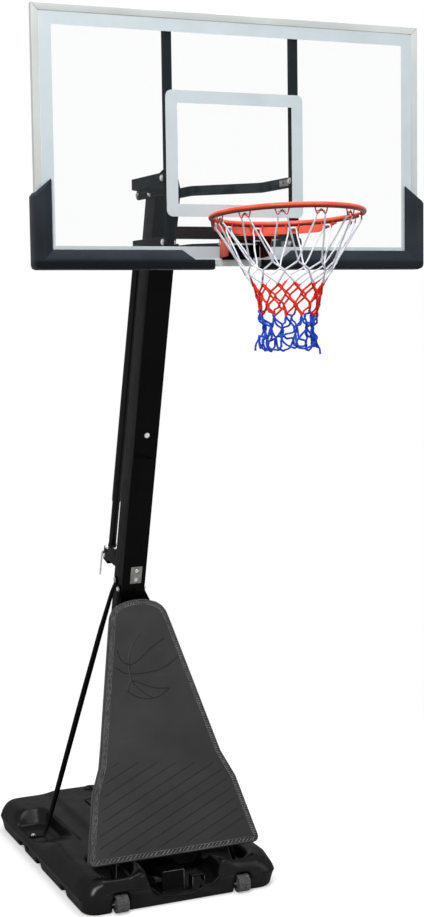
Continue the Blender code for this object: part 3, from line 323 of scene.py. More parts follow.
# coat is (weight, roughness, IOR), a thin hard skin; under is (share of deep, start, end), painted shade that darkens
# what faces down; shade is (direction, start, end, share of tone), painted shade that slowly darkens the tone over the
# piece
looks = {
    "tankPlastic": finish((0.0052, 0.0052, 0.0054), (0.0026, 0.0026, 0.0027), 5.0, (0.34, 0.50), (420, 0.12, 0.0010),
                          0.008, wave=(9, 0.05), dust=0.022, coat=(0.034, 0.22, 3.4)),
    "tankGrain": finish((0.0110, 0.0110, 0.0114), (0.0050, 0.0050, 0.0052), 9.0, (0.55, 0.7), (260, 0.55, 0.0022),
                        0.06, wave=(11, 0.05), coat=(0.02, 0.4)),
    # painted shade: a darker copy of the tank's plastic for the scoop and what stands in it
    "tankShade": finish((0.0036, 0.0036, 0.0038), (0.0022, 0.0022, 0.0023), 9.0, (0.5, 0.65), (420, 0.2, 0.0010),
                        0.01, coat=(0.012, 0.2)),
    # painted shade: a still darker tank plastic without reflection, for the block's top face
    "tankTopShade": finish((0.0026, 0.0026, 0.0027), (0.0014, 0.0014, 0.0015), 9, (0.7, 0.85), (420, 0.2, 0.0010), 0.0),
    # painted shade: the panel's tone darkens towards the lower right
    "panelPlastic": finish((0.0355, 0.0355, 0.0361), (0.0210, 0.0210, 0.0216), 3.2, (0.50, 0.66), (520, 0.30, 0.0012),
                           0.20, scuff=0.07, shade=((1.0, 0.0, -0.75), -0.85, 0.45, 0.40)),
    # painted highlight: the pale grey of the ribs' tops
    "stitchHighlight": finish((0.400, 0.400, 0.404), (0.150, 0.150, 0.153), 60, (0.45, 0.6), (700, 0.1, 0.0005), 0.4),
    # painted highlight: a pale grey for thin rods laid along edges where light catches them
    "edgeHighlight": finish((0.190, 0.190, 0.192), (0.040, 0.040, 0.041), 30, (0.4, 0.55), (700, 0.2, 0.0005), 0.3),
    # painted highlight: the pale grey of the raised bead lines
    "beadHighlight": finish((0.170, 0.170, 0.172), (0.060, 0.060, 0.061), 14, (0.45, 0.6), (700, 0.1, 0.0005), 0.4),
    "blackCoat": finish((0.0024, 0.0024, 0.0026), (0.0014, 0.0014, 0.0016), 7, (0.40, 0.5), (900, 0.12, 0.0004),
                        0.010, scuff=0.02, coat=(0.015, 0.20)),
    "jackCoat": finish((0.0050, 0.0050, 0.0053), (0.0030, 0.0030, 0.0032), 9, (0.30, 0.40), (900, 0.06, 0.0004),
                       0.02, coat=(0.05, 0.12)),
    # painted light and shade: the right-hand arms take this lighter, bluer copy of the arm coat, the left-hand arms the
    # darker armShade
    "armLit": finish((0.0190, 0.0265, 0.0320), (0.0030, 0.0044, 0.0058), 26, (0.40, 0.55), (800, 0.20, 0.0006),
                      0.012, scuff=0.20, coat=(0.022, 0.22, 3.0)),
    "armShade": finish((0.0070, 0.0098, 0.0120), (0.0014, 0.0020, 0.0026), 30, (0.40, 0.55), (800, 0.20, 0.0006),
                       0.008, scuff=0.14, coat=(0.008, 0.22, 3.0)),
    "braceCoat": finish((0.0034, 0.0052, 0.0070), (0.0016, 0.0026, 0.0036), 20, (0.40, 0.55), (800, 0.14, 0.0005),
                        0.004, scuff=0.06, coat=(0.003, 0.25)),
    "brownCoat": finish((0.0130, 0.0058, 0.0060), (0.0062, 0.0032, 0.0034), 11, (0.4, 0.52), (900, 0.12, 0.0004),
                        0.02, scuff=0.03, coat=(0.010, 0.25)),
    "darkBrown": finish((0.0085, 0.0035, 0.0037), (0.0040, 0.0020, 0.0021), 16, (0.45, 0.6), (900, 0.12, 0.0004),
                        0.02, scuff=0.03),
    "bareZinc": finish((0.66, 0.67, 0.68), (0.46, 0.47, 0.48), 60, (0.24, 0.42), (1500, 0.10, 0.0003), 0.5,
                       metallic=1.0),
    "dullZinc": finish((0.26, 0.26, 0.245), (0.16, 0.16, 0.150), 45, (0.45, 0.6), (1200, 0.15, 0.0003), 0.5,
                       metallic=0.85),
    # painted shade: the rim's coat darkens on what faces down
    "rimCoat": finish((0.870, 0.128, 0.070), (0.680, 0.078, 0.042), 12, (0.34, 0.46), (900, 0.10, 0.0004), 0.08,
                      scuff=0.03, coat=(0.06, 0.15), under=(0.10, -0.15, -0.75)),
    "rimShade": finish((0.0900, 0.0080, 0.0080), (0.0500, 0.0045, 0.0045), 14, (0.5, 0.62), (900, 0.10, 0.0004), 0.02),
    "railMetal": finish((0.545, 0.577, 0.568), (0.455, 0.485, 0.477), 3, (0.40, 0.52), (700, 0.10, 0.0004), 0.4,
                        metallic=0.15),
    "printInk": finish((0.550, 0.612, 0.640), (0.505, 0.570, 0.595), 8, (0.40, 0.50), (600, 0.05, 0.0003), 0.3),
    # painted shade: the pads darken on what faces down and in a band along their lower edge
    "padRubber": finish((0.0225, 0.0285, 0.0360), (0.0155, 0.0195, 0.0250), 6, (0.42, 0.56), (650, 0.22, 0.0008),
                        0.03, coat=(0.014, 0.28, 3.0), under=(0.12, -0.3, -0.8),
                        shade=((0.0, 0.0, -1.0), -2.3785, -2.3700, 0.22)),
    "wheelRubber": finish((0.110, 0.110, 0.110), (0.035, 0.035, 0.036), 260, (0.7, 0.85), (500, 0.4, 0.0012), 0.2),
}
# the ring's coat, with a stronger painted shade on what faces down
looks["ringCoat"] = {**looks["rimCoat"], "coat": (0.05, 0.15), "under": (0.28, 0.20, -0.45)}


def feed(tree, value, socket):
    # a value is a number, a colour or another node's output
    if hasattr(value, "is_linked"):
        tree.links.new(value, socket)
    else:
        socket.default_value = value


def addNode(tree, kind, **sockets):
    made = tree.nodes.new("ShaderNode" + kind)
    for key, value in sockets.items():
        feed(tree, value, made.inputs[key.replace("_", " ")])
    return made


def cloud(tree, source, scale, detail=4.0, rough=0.55):
    return addNode(tree, "TexNoise", Vector=source, Scale=scale, Detail=detail, Roughness=rough).outputs["Fac"]


def spread(tree, source, low, high, toLow=0.0, toHigh=1.0):
    made = addNode(tree, "MapRange", Value=source, From_Min=low, From_Max=high, To_Min=toLow, To_Max=toHigh)
    return made.outputs["Result"]


def mixed(tree, share, first, second, blend="MIX"):
    made = tree.nodes.new("ShaderNodeMix")
    made.data_type = "RGBA"
    made.blend_type = blend
    feed(tree, share, made.inputs["Factor"])
    for socket, value in ((made.inputs[6], first), (made.inputs[7], second)):
        feed(tree, value if hasattr(value, "is_linked") else (*value, 1.0), socket)
    return made.outputs[2]


def maths(tree, kind, *values, family="Math"):
    made = tree.nodes.new("ShaderNode" + family)
    made.operation = kind
    for socket, value in zip(made.inputs, values):
        feed(tree, value, socket)
    return made.outputs["Value"]


def bumped(tree, height, strength, distance):
    return addNode(tree, "Bump", Height=height, Strength=strength, Distance=distance)


def facingUp(tree):
    normal = tree.nodes.new("ShaderNodeNewGeometry").outputs["Normal"]
    return addNode(tree, "SeparateXYZ", Vector=normal).outputs["Z"]


def newFinish(name, **sockets):
    material = bpy.data.materials.new(name)
    material.use_nodes = True
    tree = material.node_tree
    shader = tree.nodes["Principled BSDF"]
    for key, value in sockets.items():
        shader.inputs[key.replace("_", " ")].default_value = value
    finishes[name] = material
    return tree, shader, tree.nodes.new("ShaderNodeTexCoord").outputs["Object"]


def makeFinish(name, look):
    sockets = {"Metallic": look.get("metallic", 0.0), "Specular_IOR_Level": look["specular"]}
    if "coat" in look:
        sockets.update(zip(("Coat_Weight", "Coat_Roughness", "Coat_IOR"), (*look["coat"], 2.3)))
    tree, shader, spot = newFinish(name, **sockets)
    tone, deep, patch = look["tone"], look["deep"], look["patch"]
    colour = mixed(tree, spread(tree, cloud(tree, spot, patch), 0.35, 0.65), deep, tone)
    if "scuff" in look:  # faint pale rubs in long strokes
        turned = addNode(tree, "Mapping", Vector=spot, Rotation=(0.3, 0.5, 0.4), Scale=(3.0, 22.0, 5.0))
        rubs = cloud(tree, turned.outputs["Vector"], 4.0, 6.0, 0.6)
        colour = mixed(tree, spread(tree, rubs, 0.60, 0.78, 0.0, look["scuff"]), colour,
                       tuple(min(1.0, part * 2.5 + 0.05) for part in tone))
    if "dust" in look:  # dust lies on what faces up
        speck = spread(tree, cloud(tree, spot, 35.0, 8.0, 0.7), 0.45, 0.75, 0.0, look["dust"])
        both = maths(tree, "MULTIPLY", spread(tree, facingUp(tree), 0.75, 1.0), speck)
        colour = mixed(tree, both, colour, (0.24, 0.23, 0.22))
    # painted shade: the deep colour on what faces down
    if "under" in look:
        share, start, end = look["under"]
        colour = mixed(tree, spread(tree, facingUp(tree), start, end), colour, tuple(part * share for part in deep))
    # painted shade: a darker tone along one direction over the piece
    if "shade" in look:
        way, start, end, share = look["shade"]
        along = maths(tree, "DOT_PRODUCT", spot, way, family="VectorMath")
        colour = mixed(tree, spread(tree, along, start, end), colour, tuple(part * share for part in tone))
    feed(tree, colour, shader.inputs["Base Color"])
    feed(tree, spread(tree, cloud(tree, spot, patch * 2.3, 5.0), 0.3, 0.7, *look["rough"]), shader.inputs["Roughness"])
    scale, strength, distance = look["grain"]
    bump = bumped(tree, cloud(tree, spot, scale, 3.0, 0.6), strength, distance)
    feed(tree, bump.outputs["Normal"], shader.inputs["Normal"])
    if "wave" in look:  # slow waves of a blow-moulded wall under the grain
        count, depth = look["wave"]
        slow = bumped(tree, cloud(tree, spot, count, 1.0, 0.4), depth, 0.02)
        feed(tree, slow.outputs["Normal"], bump.inputs["Normal"])


def makeSheetFinish():
    tree, shader, spot = newFinish("clearAcrylic", Base_Color=(0.30, 0.36, 0.38, 1.0), Alpha=0.025,
                                   Specular_IOR_Level=0.12)
    feed(tree, spread(tree, cloud(tree, spot, 5.0, 6.0, 0.6), 0.35, 0.7, 0.03, 0.12), shader.inputs["Roughness"])


cordLook = {"redTop": 2.303, "blueTop": 2.203, "axis": -1.5137, "swing": 0.008, "jitter": 0.006,
            "blue": (0.018, 0.085, 0.640), "red": (0.760, 0.032, 0.018), "white": (0.830, 0.850, 0.930)}


def makeCordFinish():
    # twisted cord in three bands, whose edges rise and fall with the diamonds
    tree, shader, spot = newFinish("netCord", Specular_IOR_Level=0.22)
    parts = addNode(tree, "SeparateXYZ", Vector=spot).outputs
    swing, jitter = cordLook["swing"], cordLook["jitter"]
    turn = maths(tree, "ARCTAN2", maths(tree, "SUBTRACT", parts["Y"], cordLook["axis"]), parts["X"])
    wave = maths(tree, "COSINE", maths(tree, "MULTIPLY", turn, 12.0))
    shift = spread(tree, cloud(tree, spot, 26.0, 2.0, 0.5), 0.3, 0.7, -jitter, jitter)
    height = maths(tree, "ADD", parts["Z"], shift)
    colour = cordLook["blue"]
    for edge, above, reach in (("blueTop", "red", -swing), ("redTop", "white", swing)):
        level = maths(tree, "SUBTRACT", height, maths(tree, "MULTIPLY", wave, reach))
        colour = mixed(tree, maths(tree, "GREATER_THAN", level, cordLook[edge]), colour, cordLook[above])
    fibre = cloud(tree, spot, 900.0, 2.0, 0.5)
    colour = mixed(tree, 1.0, colour, spread(tree, fibre, 0.3, 0.7, 0.78, 1.0), "MULTIPLY")
    feed(tree, colour, shader.inputs["Base Color"])
    feed(tree, spread(tree, fibre, 0.3, 0.7, 0.65, 0.85), shader.inputs["Roughness"])
    feed(tree, bumped(tree, fibre, 0.35, 0.0006).outputs["Normal"], shader.inputs["Normal"])


for name, look in looks.items():
    makeFinish(name, look)
makeSheetFinish()
makeCordFinish()
print("finishes made:", len(finishes))

# camera, light and floor

shot = {"place": (-2.1207, -5.8287, 2.2065), "yaw": 23.2903, "pitch": 5.3528, "roll": 0.7808,
        "focal": 1554.3755, "middle": (212, 458.5), "high": 917, "sensor": 36.0}
# name, place, target, sides and power of each lamp
lamps = [("key", (-2.6, -4.2, 5.6), (0, -0.4, 1.4), (1.5, 1.5), 230),
         ("overhead", (0.4, -1.0, 6.0), (0, -0.3, 1.0), (2.4, 2.4), 120),
         ("fill", (3.4, -4.4, 2.6), (0, -0.2, 1.2), (2.6, 2.6), 50),
         ("rear", (1.8, 3.4, 4.2), (0, 0, 1.6), (2.2, 2.2), 55)]


def shotAxes():
    # the camera's forward, rightward and downward directions
    yaw, pitch, roll = (math.radians(shot[key]) for key in ("yaw", "pitch", "roll"))
    forward = Vector((math.sin(yaw) * math.cos(pitch), math.cos(yaw) * math.cos(pitch), -math.sin(pitch)))
    right = Vector((math.cos(yaw), -math.sin(yaw), 0))
    down = forward.cross(right)
    return forward, right * math.cos(roll) + down * math.sin(roll), -right * math.sin(roll) + down * math.cos(roll)


def setCamera():
    forward, right, down = shotAxes()
    lens = bpy.data.cameras.new("camera")
    lens.sensor_width = shot["sensor"]
    lens.lens = shot["focal"] / shot["high"] * shot["sensor"]
    lens.clip_end = 60
    eye = bpy.data.objects.new("camera", lens)
    bpy.context.scene.collection.objects.link(eye)
    turn = Matrix((right, -down, -forward)).transposed().to_4x4()
    turn.translation = Vector(shot["place"])
    eye.matrix_world = turn
    bpy.context.scene.camera = eye


def softLight(name, spot, target, size, power):
    lamp = bpy.data.lights.new(name, "AREA")
    lamp.shape = "RECTANGLE"
    lamp.size, lamp.size_y = size
    lamp.energy = power
    made = bpy.data.objects.new(name, lamp)
    bpy.context.scene.collection.objects.link(made)
    made.location = spot
    made.rotation_euler = (Vector(target) - Vector(spot)).to_track_quat("-Z", "Y").to_euler()


def setWorld():
    # white for the camera and for glossy and transmitted rays, dimmer as a light
    world = bpy.data.worlds.new("studio")
    bpy.context.scene.world = world
    world.use_nodes = True
    tree = world.node_tree
    back = tree.nodes["Background"].inputs
    rays = tree.nodes.new("ShaderNodeLightPath").outputs
    seen = maths(tree, "MAXIMUM", rays["Is Camera Ray"], rays["Is Glossy Ray"])
    seen = maths(tree, "MAXIMUM", seen, rays["Is Transmission Ray"])
    back["Color"].default_value = (1, 1, 1, 1)
    feed(tree, spread(tree, seen, 0.0, 1.0, 0.30, 1.0), back["Strength"])


def setFloor():
    # a pale floor that lifts to white in the picture and fades out with distance
    floor = settle(added(bpy.ops.mesh.primitive_plane_add, "studio_floor", size=16, location=(0, 0, -0.0002)))
    tree, shader, spot = newFinish("studioFloor", Base_Color=(0.80, 0.80, 0.80, 1), Roughness=0.9,
                                   Specular_IOR_Level=0.1)
    rays = tree.nodes.new("ShaderNodeLightPath").outputs
    glow = addNode(tree, "Emission", Strength=spread(tree, rays["Is Camera Ray"], 0.0, 1.0, 0.0, 0.36))
    both = tree.nodes.new("ShaderNodeAddShader")
    feed(tree, shader.outputs[0], both.inputs[0])
    feed(tree, glow.outputs[0], both.inputs[1])
    fade = spread(tree, maths(tree, "LENGTH", spot, family="VectorMath"), 1.2, 3.4)
    fade.node.interpolation_type = "SMOOTHSTEP"
    blend = addNode(tree, "MixShader", Fac=fade)
    feed(tree, both.outputs[0], blend.inputs[1])
    feed(tree, tree.nodes.new("ShaderNodeBsdfTransparent").outputs[0], blend.inputs[2])
    feed(tree, blend.outputs[0], tree.nodes["Material Output"].inputs["Surface"])
    floor.data.materials.append(finishes["studioFloor"])


setCamera()
setWorld()
setFloor()
for lamp in lamps:
    softLight(*lamp)
bpy.context.scene.view_settings.view_transform = "Standard"
print("camera, light and floor set")

# ballast tank

tankLook = {"voxel": 0.006, "rounds": 8, "halfWide": 0.400, "halfLong": 0.582, "corner": 0.060,
            "shoulderRounds": 150, "cornerRounds": 200, "ridges": (-0.160, 0.172),
            "mounds": ((-1, 0.136), (1, 0.154)), "moundLow": (-0.574, 0.050), "moundHigh": (0.206, -0.440, 0.143),
            "moundSlant": 0.156, "scoop": ((-0.140, 0.157), (-0.556, -0.37), 0.128), "front": -0.56,
            # the smoothed bands by the edge, the height and the ridges are (limit, width)
            "edgeBand": (0.070, 0.030), "highBand": (0.085, 0.02), "ridgeBand": (0.036, 0.014), "ridgeShare": 0.8,
            "ridgeArea": (-0.185, 0.200, -0.3, -0.41), "frontCorner": (0.310, -0.480, 0.078, 0.025),
            "grooves": ((0.248, 0.225, 0.1340), (0.246, -0.106, 0.1340)), "grooveRadius": 0.0055,
            "pocket": ((0.366, 0.128, 0.026), (0.42, 0.170, 0.052)), "seam": 0.0030, "seamTop": 0.0635,
            "seamCorner": 0.0605}
# the parting line dips round the scoop and climbs over the wheel housings
seamMarks = [(-0.40, 0.0600), (-0.34, 0.0620), (-0.28, 0.0850), (-0.21, 0.0850), (-0.14, 0.0780), (-0.073, 0.0360),
             (0.028, 0.0270), (0.119, 0.0550), (0.161, 0.0800), (0.21, 0.0850), (0.28, 0.0850), (0.34, 0.0620),
             (0.40, 0.0600)]


def smoothWhere(piece, name, rounds, weigh):
    # smooths a piece by a weight worked out for each point
    group = piece.vertex_groups.new(name=name)
    for vert in piece.data.vertices:
        share = weigh(vert.co)
        if share > 0:
            group.add([vert.index], share, "REPLACE")
    addStep(piece, name, "SMOOTH", factor=0.5, iterations=rounds, vertex_group=name)
    applyAll(piece)


def onShoulder(spot):
    # the outer shoulders are far rounder than the pockets
    (reach, fade), (low, rise), (near, soft) = (tankLook[key] for key in ("edgeBand", "highBand", "ridgeBand"))
    left, right, back, front = tankLook["ridgeArea"]
    edge = min(tankLook["halfWide"] - abs(spot.x), tankLook["halfLong"] - abs(spot.y))
    high = clamped((spot.z - low) / rise)
    if left < spot.x < right and spot.y < back:
        # between the scoop and the front pockets
        offRidge = abs(spot.x - tankLook["ridges"][0 if spot.x < 0 else 1])
        return tankLook["ridgeShare"] * clamped((near - offRidge) / soft) * high if spot.y < front else 0
    return clamped((reach - edge) / fade) * high


def onFrontCorner(spot):
    # the two front corners are rounder still
    side, front, low, fade = tankLook["frontCorner"]
    return min(1.0, min(abs(spot.x) - side, front - spot.y, spot.z - low) / fade)


def makeTank():
    tank = cadCopy("ballast_tank", "tank_shell")
    mounds = []
    for side, inner in tankLook["mounds"]:
        # the tank swells between the scoop and each front pocket
        mound = boxAt((inner, *tankLook["moundLow"]), tankLook["moundHigh"], "mound")
        for vert in mound.data.vertices:
            if vert.co.x > 0.2 and vert.co.y > -0.5:
                vert.co.x = tankLook["moundSlant"]
            vert.co.x *= side
        mounds.append(mound)
    mounds[0].data.flip_normals()
    tank = joined("tank_shell", [tank] + mounds)
    addStep(tank, "mesh", "REMESH", mode="VOXEL", voxel_size=tankLook["voxel"])
    addStep(tank, "soften", "SMOOTH", factor=0.5, iterations=tankLook["rounds"])
    applyAll(tank)
    smoothWhere(tank, "shoulder", tankLook["shoulderRounds"], onShoulder)
    smoothWhere(tank, "corner", tankLook["cornerRounds"], onFrontCorner)
    cutters = []
    (inner, *low), (outer, *high) = tankLook["pocket"]
    for side in (-1, 1):
        cutters.append(tube("groove", [(side * x, y, z) for x, y, z in tankLook["grooves"]],
                            tankLook["grooveRadius"], 8))
        cutters.append(boxAt((min(side * inner, side * outer), *low), (max(side * inner, side * outer), *high), "cut"))
    carve(tank, cutters, False)
    place(smoothAll(tank), "tankPlastic", "stand", ["ballast_tank"])
    tank.data.materials.append(finishes["tankGrain"])
    tank.data.materials.append(finishes["tankShade"])
    (left, right), (near, far), top = tankLook["scoop"]
    # painted shade: the scoop's faces take the darker tankShade finish; below the parting line the faces take the
    # grained finish
    for face in tank.data.polygons:
        x, y, z = face.center
        if left < x < right and near < y < far and z < top:
            face.material_index = 2
        elif z < (between(seamMarks, x, True) if y < tankLook["front"] else tankLook["seamTop"]):
            face.material_index = 1
    return tank


tank = makeTank()
print("tank shell:", len(tank.data.polygons), "faces")


# how far the wall stands in at a height
wallMarks = [(0.006, 0.016), (0.0575, 0.005), (0.0975, 0.010)]


def makeSeam():
    # a thin closed bead along the parting line
    points = []
    wide, long, corner = tankLook["halfWide"], tankLook["halfLong"], tankLook["corner"]
    steps, front, turnIn = 10, 60, 0.02
    for signX, signY, first in ((1, 1, 0), (-1, 1, 90), (-1, -1, 180), (1, -1, 270)):
        for k in range(steps + 1):
            turn = math.radians(first + 90 * k / steps)
            points.append((signX * (wide - corner) + corner * math.cos(turn),
                           signY * (long - corner) + corner * math.sin(turn)))
        if (signX, signY) == (-1, -1):
            for k in range(1, front):
                points.append((-(wide - corner) + 2 * (wide - corner) * k / front, -long))
    route = []
    for x, y in points:
        z = between(seamMarks, x, True) if y < -long + turnIn else tankLook["seamTop"]
        if -long + turnIn <= y < -long + corner:
            share = (y + long - turnIn) / (corner - turnIn)
            z = tankLook["seamCorner"] + (tankLook["seamTop"] - tankLook["seamCorner"]) * share
        inset = between(wallMarks, z) + 0.0008
        route.append((x * ((wide - inset) / wide), y * ((long - inset) / long), z))
    seam = tube("tank_seam", route, tankLook["seam"], 8, closed=True)
    place(smoothAll(seam), "tankPlastic", "stand")


makeSeam()

capLook = {"place": (0, 0.485, 0), "radius": 0.030, "low": 0.1395, "high": 0.010, "ribs": 16, "rib": 0.0022,
           "ribHigh": 0.008, "dish": ((0.004, 0), (0.0015, -0.003)),
           "bar": ((-0.0035, 0.460, 0.1455), (0.0035, 0.510, 0.1515))}


def makeCap():
    # filler cap on the tank's rear, with finger ribs
    centre, radius, low = Vector(capLook["place"]), capLook["radius"], capLook["low"]
    cap = rodAt(centre + Vector((0, 0, low)), centre + Vector((0, 0, low + capLook["high"])), radius, 48, "tank_cap")
    editPick(cap, lambda face: face.normal.z > 0.9)
    insetFaces(*capLook["dish"])
    editEnd()
    ribs = [boxAt(*capLook["bar"], "rib")]
    for k in range(capLook["ribs"]):
        turn = 2 * math.pi * k / capLook["ribs"]
        spot = centre + towards(turn) * radius
        ribs.append(rodAt(spot + Vector((0, 0, low)), spot + Vector((0, 0, low + capLook["ribHigh"])),
                          capLook["rib"], 8, "rib"))
    cap = worn(joined("tank_cap", [cap] + ribs), 0.0008)
    place(cap, "tankPlastic", "stand")


makeCap()

scoopLook = {"block": ((-0.0735, -0.5455, 0.028), (0.0165, -0.4200, 0.1205)),
             "ear": ((-0.104, -0.548, 0.082), (-0.0745, -0.515, 0.099)),
             "clip": [((0.044, -0.556, 0.046), (0.050, -0.520, 0.088)),
                      ((0.044, -0.556, 0.084), (0.100, -0.520, 0.089)),
                      ((0.094, -0.552, 0.060), (0.100, -0.520, 0.089))],
             "edges": [([(-0.070, -0.5462, 0.1190), (0.013, -0.5462, 0.1190), (0.0150, -0.5462, 0.1150),
                         (0.0150, -0.5462, 0.036)], 0.0012),
                       ([(0.046, -0.5572, 0.050), (0.046, -0.5572, 0.087)], 0.0010),
                       ([(0.097, -0.5532, 0.062), (0.095, -0.5532, 0.088)], 0.0014)]}


def makeScoopDetails():
    # the scoop's block and the clip on its right, darker as painted shade, the block's edges with painted highlights,
    # and a small ear on its left
    block = worn(boxAt(*scoopLook["block"], "tank_block"), 0.0022, 3)
    place(block, "tankShade", "stand")
    block.data.materials.append(finishes["tankTopShade"])
    # painted shade: the block's top faces take the darkest finish
    for face in block.data.polygons:
        face.material_index = int(face.normal.z > 0.7)
    lit = joined("tank_edge_highlights", [tube("line", route, radius, 6) for route, radius in scoopLook["edges"]])
    place(smoothAll(lit), "edgeHighlight", "stand")
    clip = worn(joined("tank_clip", [boxAt(*ends, "clip") for ends in scoopLook["clip"]]), 0.0016)
    place(clip, "tankShade", "stand")
    ear = worn(boxAt(*scoopLook["ear"], "tank_ear"), 0.004, 3)
    place(ear, "tankPlastic", "stand")


makeScoopDetails()

coverLook = {"middle": 0.2396, "reach": 0.0935, "hole": 0.0530, "low": 0.1385, "high": 0.1452, "wide": 0.0780,
             "neck": 0.0500}


def makeWellCover():
    # a cover that closes the pole's well round the pole
    middle, reach, hole, low, high, wide, neck = coverLook.values()
    parts = [boxAt((-wide, middle - reach, low), (-neck, middle + reach, high), "cover"),
             boxAt((neck, middle - reach, low), (wide, middle + reach, high), "cover"),
             boxAt((-neck, middle + hole, low), (neck, middle + reach, high), "cover"),
             boxAt((-neck, middle - reach, low), (neck, middle - hole, high), "cover")]
    place(joined("well_cover", parts), "tankPlastic", "stand")


makeWellCover()
print("tank details made")

# wheels

# cuts are where the tread is divided across, rings the insets and depths of the side's groove
wheelLook = {"radius": 0.0335, "half": 0.0235, "groove": 0.003, "sides": 56, "pitch": 45.0,
             "cuts": (-0.0218, -0.0028, -0.0012, 0.0012, 0.0028, 0.0218),
             "rings": ((0.007, 0), (0.0015, -0.004), (0.0125, 0), (0.0015, 0.004))}


def makeWheel(label):
    low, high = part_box("wheel_" + label)
    hub = (low + high) / 2
    half, radius = wheelLook["half"], wheelLook["radius"]
    wheel = rodAt(hub - Vector((half, 0, 0)), hub + Vector((half, 0, 0)), radius, wheelLook["sides"],
                  "wheel_%s_look" % label)
    for cut in wheelLook["cuts"]:
        editAll(wheel)
        bpy.ops.mesh.bisect(plane_co=hub + Vector((cut, 0, 0)), plane_no=(1, 0, 0))
        editEnd()
    for vert in wheel.data.vertices:
        across = abs(vert.co.x - hub.x)
        turn = math.degrees(math.atan2(vert.co.z - hub.z, vert.co.y - hub.y)) / wheelLook["pitch"]
        if across < 0.0020 or (across < 0.0225 and abs(turn - round(turn)) < 0.05):
            # a groove round the middle and short ones across the tread
            sunk = radius - wheelLook["groove"]
            vert.co.y = hub.y + (vert.co.y - hub.y) * sunk / radius
            vert.co.z = hub.z + (vert.co.z - hub.z) * sunk / radius
    for side in (-1, 1):
        editPick(wheel, lambda face: face.normal.x * side > 0.9 and face.area > 0.001)
        insetFaces(*wheelLook["rings"])
        editEnd()
    worn(wheel, 0.0012, 2, 35)
    place(wheel, "wheelRubber", bodyOf["wheel_" + label], ["wheel_" + label])


for label in ("left", "right"):
    makeWheel(label)
    rounded("wheel_axle_" + label, "dullZinc")
print("wheels made")

# pole, struts and their fittings

poleLook = {"corner": 0.0045, "half": 0.049, "gap": 0.0003, "jointBolt": 1.8285, "nut": 0.0055,
            "plateBolts": 1.2385, "plateBoltsApart": 0.019, "plateBoltX": 0.006, "plate": 0.002, "head": 0.0044,
            "shankEnd": -0.039}
lean = math.radians(16.17)
poleFoot = Vector((0, 0.2817, 0))
leanUp = Vector((0, -math.sin(lean), math.cos(lean)))
leanBack = Vector((0, math.cos(lean), math.sin(lean)))


def onPole(along, back=0.0, x=0.0):
    return poleFoot + leanUp * along + leanBack * back + Vector((x, 0, 0))


def makePoleSection(node):
    piece = cadCopy(node, node + "_look")
    reach = poleLook["half"] - 0.001

    def outerCorner(first, second):
        run = second - first
        if abs(run.normalized().dot(leanUp)) < 0.99 or run.length < 0.25:
            return False
        return abs(first.x) > reach and abs((first - poleFoot).dot(leanBack)) > reach

    lowest = min((vert.co - poleFoot).dot(leanUp) for vert in piece.data.vertices)
    editPick(piece, outerCorner, "EDGE")
    bpy.ops.mesh.bevel(offset=poleLook["corner"], segments=4, profile=0.5, affect="EDGES")
    editEnd()
    for vert in piece.data.vertices:
        # the bevel must not run on past the cut end
        short = lowest - (vert.co - poleFoot).dot(leanUp)
        if short > 0:
            vert.co += leanUp * short
    smoothByAngle(piece, 40)
    place(piece, "blackCoat", "stand", [node])


for node in ("pole_lower", "pole_upper"):
    makePoleSection(node)
softened("pole_cap", "tankPlastic", 0.0012)
for node in ("strut_side_left", "strut_side_right", "strut_front_left", "strut_front_right"):
    rounded(node, "blackCoat", 1, 40)
for node, look, width, slot in (("lower_arm_block", "blackCoat", 0.0016, "black_steel"),
                                ("jack_bracket", "blackCoat", 0.0012, "black_steel"),
                                ("pole_plate", "dullZinc", 0.0007, "dull_zinc"),
                                ("panel_clip_left", "tankPlastic", 0.002, "tank_plastic"),
                                ("panel_clip_right", "tankPlastic", 0.002, "tank_plastic")):
    softened(node, look, width)
rounded("pole_axle", "dullZinc")
print("pole and struts made")


def hexBolt(node, start, end, radius, ends=("start", "end"), look="bareZinc", slot="zinc"):
    # washer and chamfered hexagon head at each end it is given, the far one standing for a nut; start and end are the
    # outer faces
    start, end = Vector(start), Vector(end)
    way = (end - start).normalized()
    tall, wide = radius * 1.05, radius * 1.75
    parts = [rodAt(start + way * radius * 0.3, end - way * radius * 0.1, radius, 16, "shank")]
    for label, spot, out in (("start", start, -way), ("end", end, way)):
        if label not in ends:
            continue
        face = spot - out * (tall + radius * 0.05)
        parts.append(rodAt(face, face + out * radius * 0.22, wide * 1.18, 28, "washer"))
        head = rodAt(face + out * radius * 0.22, spot, wide, 6, "head")
        editPick(head, lambda item: item.normal.dot(out) > 0.9)
        insetFaces((wide * 0.10, 0), (0, 0))
        editEnd()
        parts.append(bevelled(head, radius * 0.09))
    piece = smoothByAngle(joined(node + "_look", parts), 35)
    return place(piece, look, bodyOf[node], [node])


def boltAcross(node, radius, **kind):
    low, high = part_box(node)
    middle = (low + high) / 2
    return hexBolt(node, (low.x, middle.y, middle.z), (high.x, middle.y, middle.z), radius, **kind)


